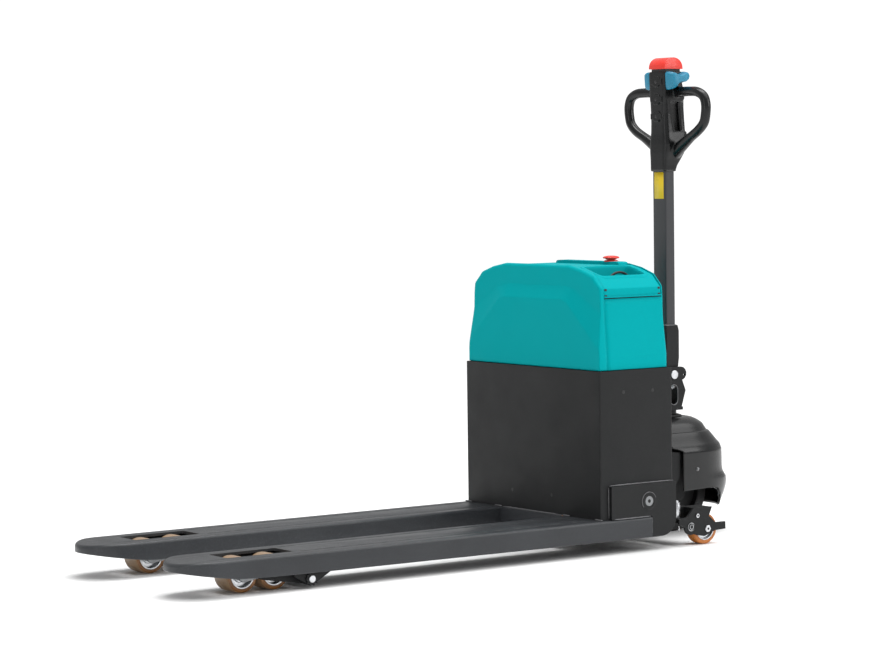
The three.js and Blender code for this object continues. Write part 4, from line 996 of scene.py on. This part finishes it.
CAP_HALF, CAP_LOW = 30, 1166.6
dome = [(THROTTLE_X - CAP_HALF * math.cos(math.pi * i / 20),
    1168.5 + 27.3 * math.sin(math.pi * i / 20) ** 0.92) for i in range(21)]
cap_outline = [(THROTTLE_X - CAP_HALF, CAP_LOW), *dome, (THROTTLE_X + CAP_HALF, CAP_LOW)]
cap_layers = []
for y, inset in ((-31.2, 1.4), (-31, 0.7), (-30.6, 0.3), (-29.8, 0), (29.8, 0), (30.6, 0.3),
    (31, 0.7), (31.2, 1.4)):
    scale = 1 - inset / CAP_HALF
    cap_layers.append([(THROTTLE_X + (x - THROTTLE_X) * scale, y, CAP_LOW + (z - CAP_LOW) * scale)
        for x, z in cap_outline])
put("safety_cap", *loft(cap_layers), "belly_button", "red_plastic", RED, smooth=50,
    replaces=("belly_button",))
put("cap_seam", *loft([head_ring(1156, 411, 463, 27, 5), head_ring(1167.4, 411, 463, 27, 5)]),
    "belly_button", "black_plastic", BLACK, smooth=40)

# ---------------------------------------------------------------- floor, light, camera

floor_mesh = bpy.data.meshes.new("floor")
reach = 60.0
floor_mesh.from_pydata([(-reach, -reach, 0), (reach, -reach, 0), (reach, reach, 0), (-reach, reach, 0)],
    [], [(0, 1, 2, 3)])
floor = bpy.data.objects.new("floor", floor_mesh)
bpy.context.scene.collection.objects.link(floor)
paper = Graph("floor_paper")
paper.shader.inputs["Base Color"].default_value = (0.93, 0.93, 0.93, 1.0)
paper.shader.inputs["Roughness"].default_value = 0.9
paper.shader.inputs["Specular IOR Level"].default_value = 0.1
paper.bump(paper.noise(40.0, 4.0), 0.0002)
floor.data.materials.append(paper.material)

world = bpy.data.worlds.new("studio")
world.use_nodes = True
sky = world.node_tree.nodes["Background"]
sky.inputs["Color"].default_value = (1, 1, 1, 1)
view_ray = world.node_tree.nodes.new("ShaderNodeLightPath").outputs["Is Camera Ray"]
level = world.node_tree.nodes.new("ShaderNodeMapRange")
level.inputs["To Min"].default_value = 0.55
level.inputs["To Max"].default_value = 1.1
world.node_tree.links.new(view_ray, level.inputs["Value"])
world.node_tree.links.new(level.outputs["Result"], sky.inputs["Strength"])
bpy.context.scene.world = world
bpy.context.scene.view_settings.view_transform = "Standard"


def lamp(name, place, target, size, power):
    data = bpy.data.lights.new(name, "AREA")
    data.shape = "RECTANGLE"
    data.size, data.size_y = size
    data.energy = power
    obj = bpy.data.objects.new(name, data)
    obj.location = place
    obj.rotation_euler = (Vector(target) - Vector(place)).to_track_quat("-Z", "Y").to_euler()
    bpy.context.scene.collection.objects.link(obj)


soft_sky = bpy.data.lights.new("soft_sky", "SUN")
soft_sky.angle = math.radians(70)
soft_sky.energy = 2.0
soft_sky_lamp = bpy.data.objects.new("soft_sky", soft_sky)
soft_sky_lamp.rotation_euler = (math.radians(14), math.radians(12), 0)
bpy.context.scene.collection.objects.link(soft_sky_lamp)
lamp("key", (3.4, -4.0, 2.6), (0.3, 0, 0.5), (2.0, 2.4), 60)
lamp("top", (0.5, 0.3, 4.0), (0.3, 0, 0.3), (2.5, 1.2), 60)
lamp("fill", (-4.0, -1.0, 1.8), (0.0, 0, 0.4), (1.4, 2.4), 14)

EYE = at(-4385.2, -5756.6, 961.6)
TURN, TILT, ROLL = math.radians(-35.5), math.radians(-3.37), math.radians(-0.71)
ahead = Vector((-math.sin(TURN) * math.cos(TILT), math.cos(TURN) * math.cos(TILT), math.sin(TILT)))
level_right = ahead.cross(Vector((0, 0, 1))).normalized()
level_up = level_right.cross(ahead)
right_axis = level_right * math.cos(ROLL) + level_up * math.sin(ROLL)
up_axis = level_up * math.cos(ROLL) - level_right * math.sin(ROLL)
camera_data = bpy.data.cameras.new("camera")
camera_data.lens, camera_data.sensor_width = 121.85, 36.0
camera_data.clip_start, camera_data.clip_end = 0.1, 200.0
camera = bpy.data.objects.new("camera", camera_data)
camera.matrix_world = Matrix.Translation(EYE) @ Matrix((right_axis, up_axis, -ahead)).transposed().to_4x4()
bpy.context.scene.collection.objects.link(camera)
bpy.context.scene.camera = camera

for node, obj in NODES.items():
    if not obj.modifiers and not obj.hide_render:
        dress(node, FINISH[SLOT_OF[node]])
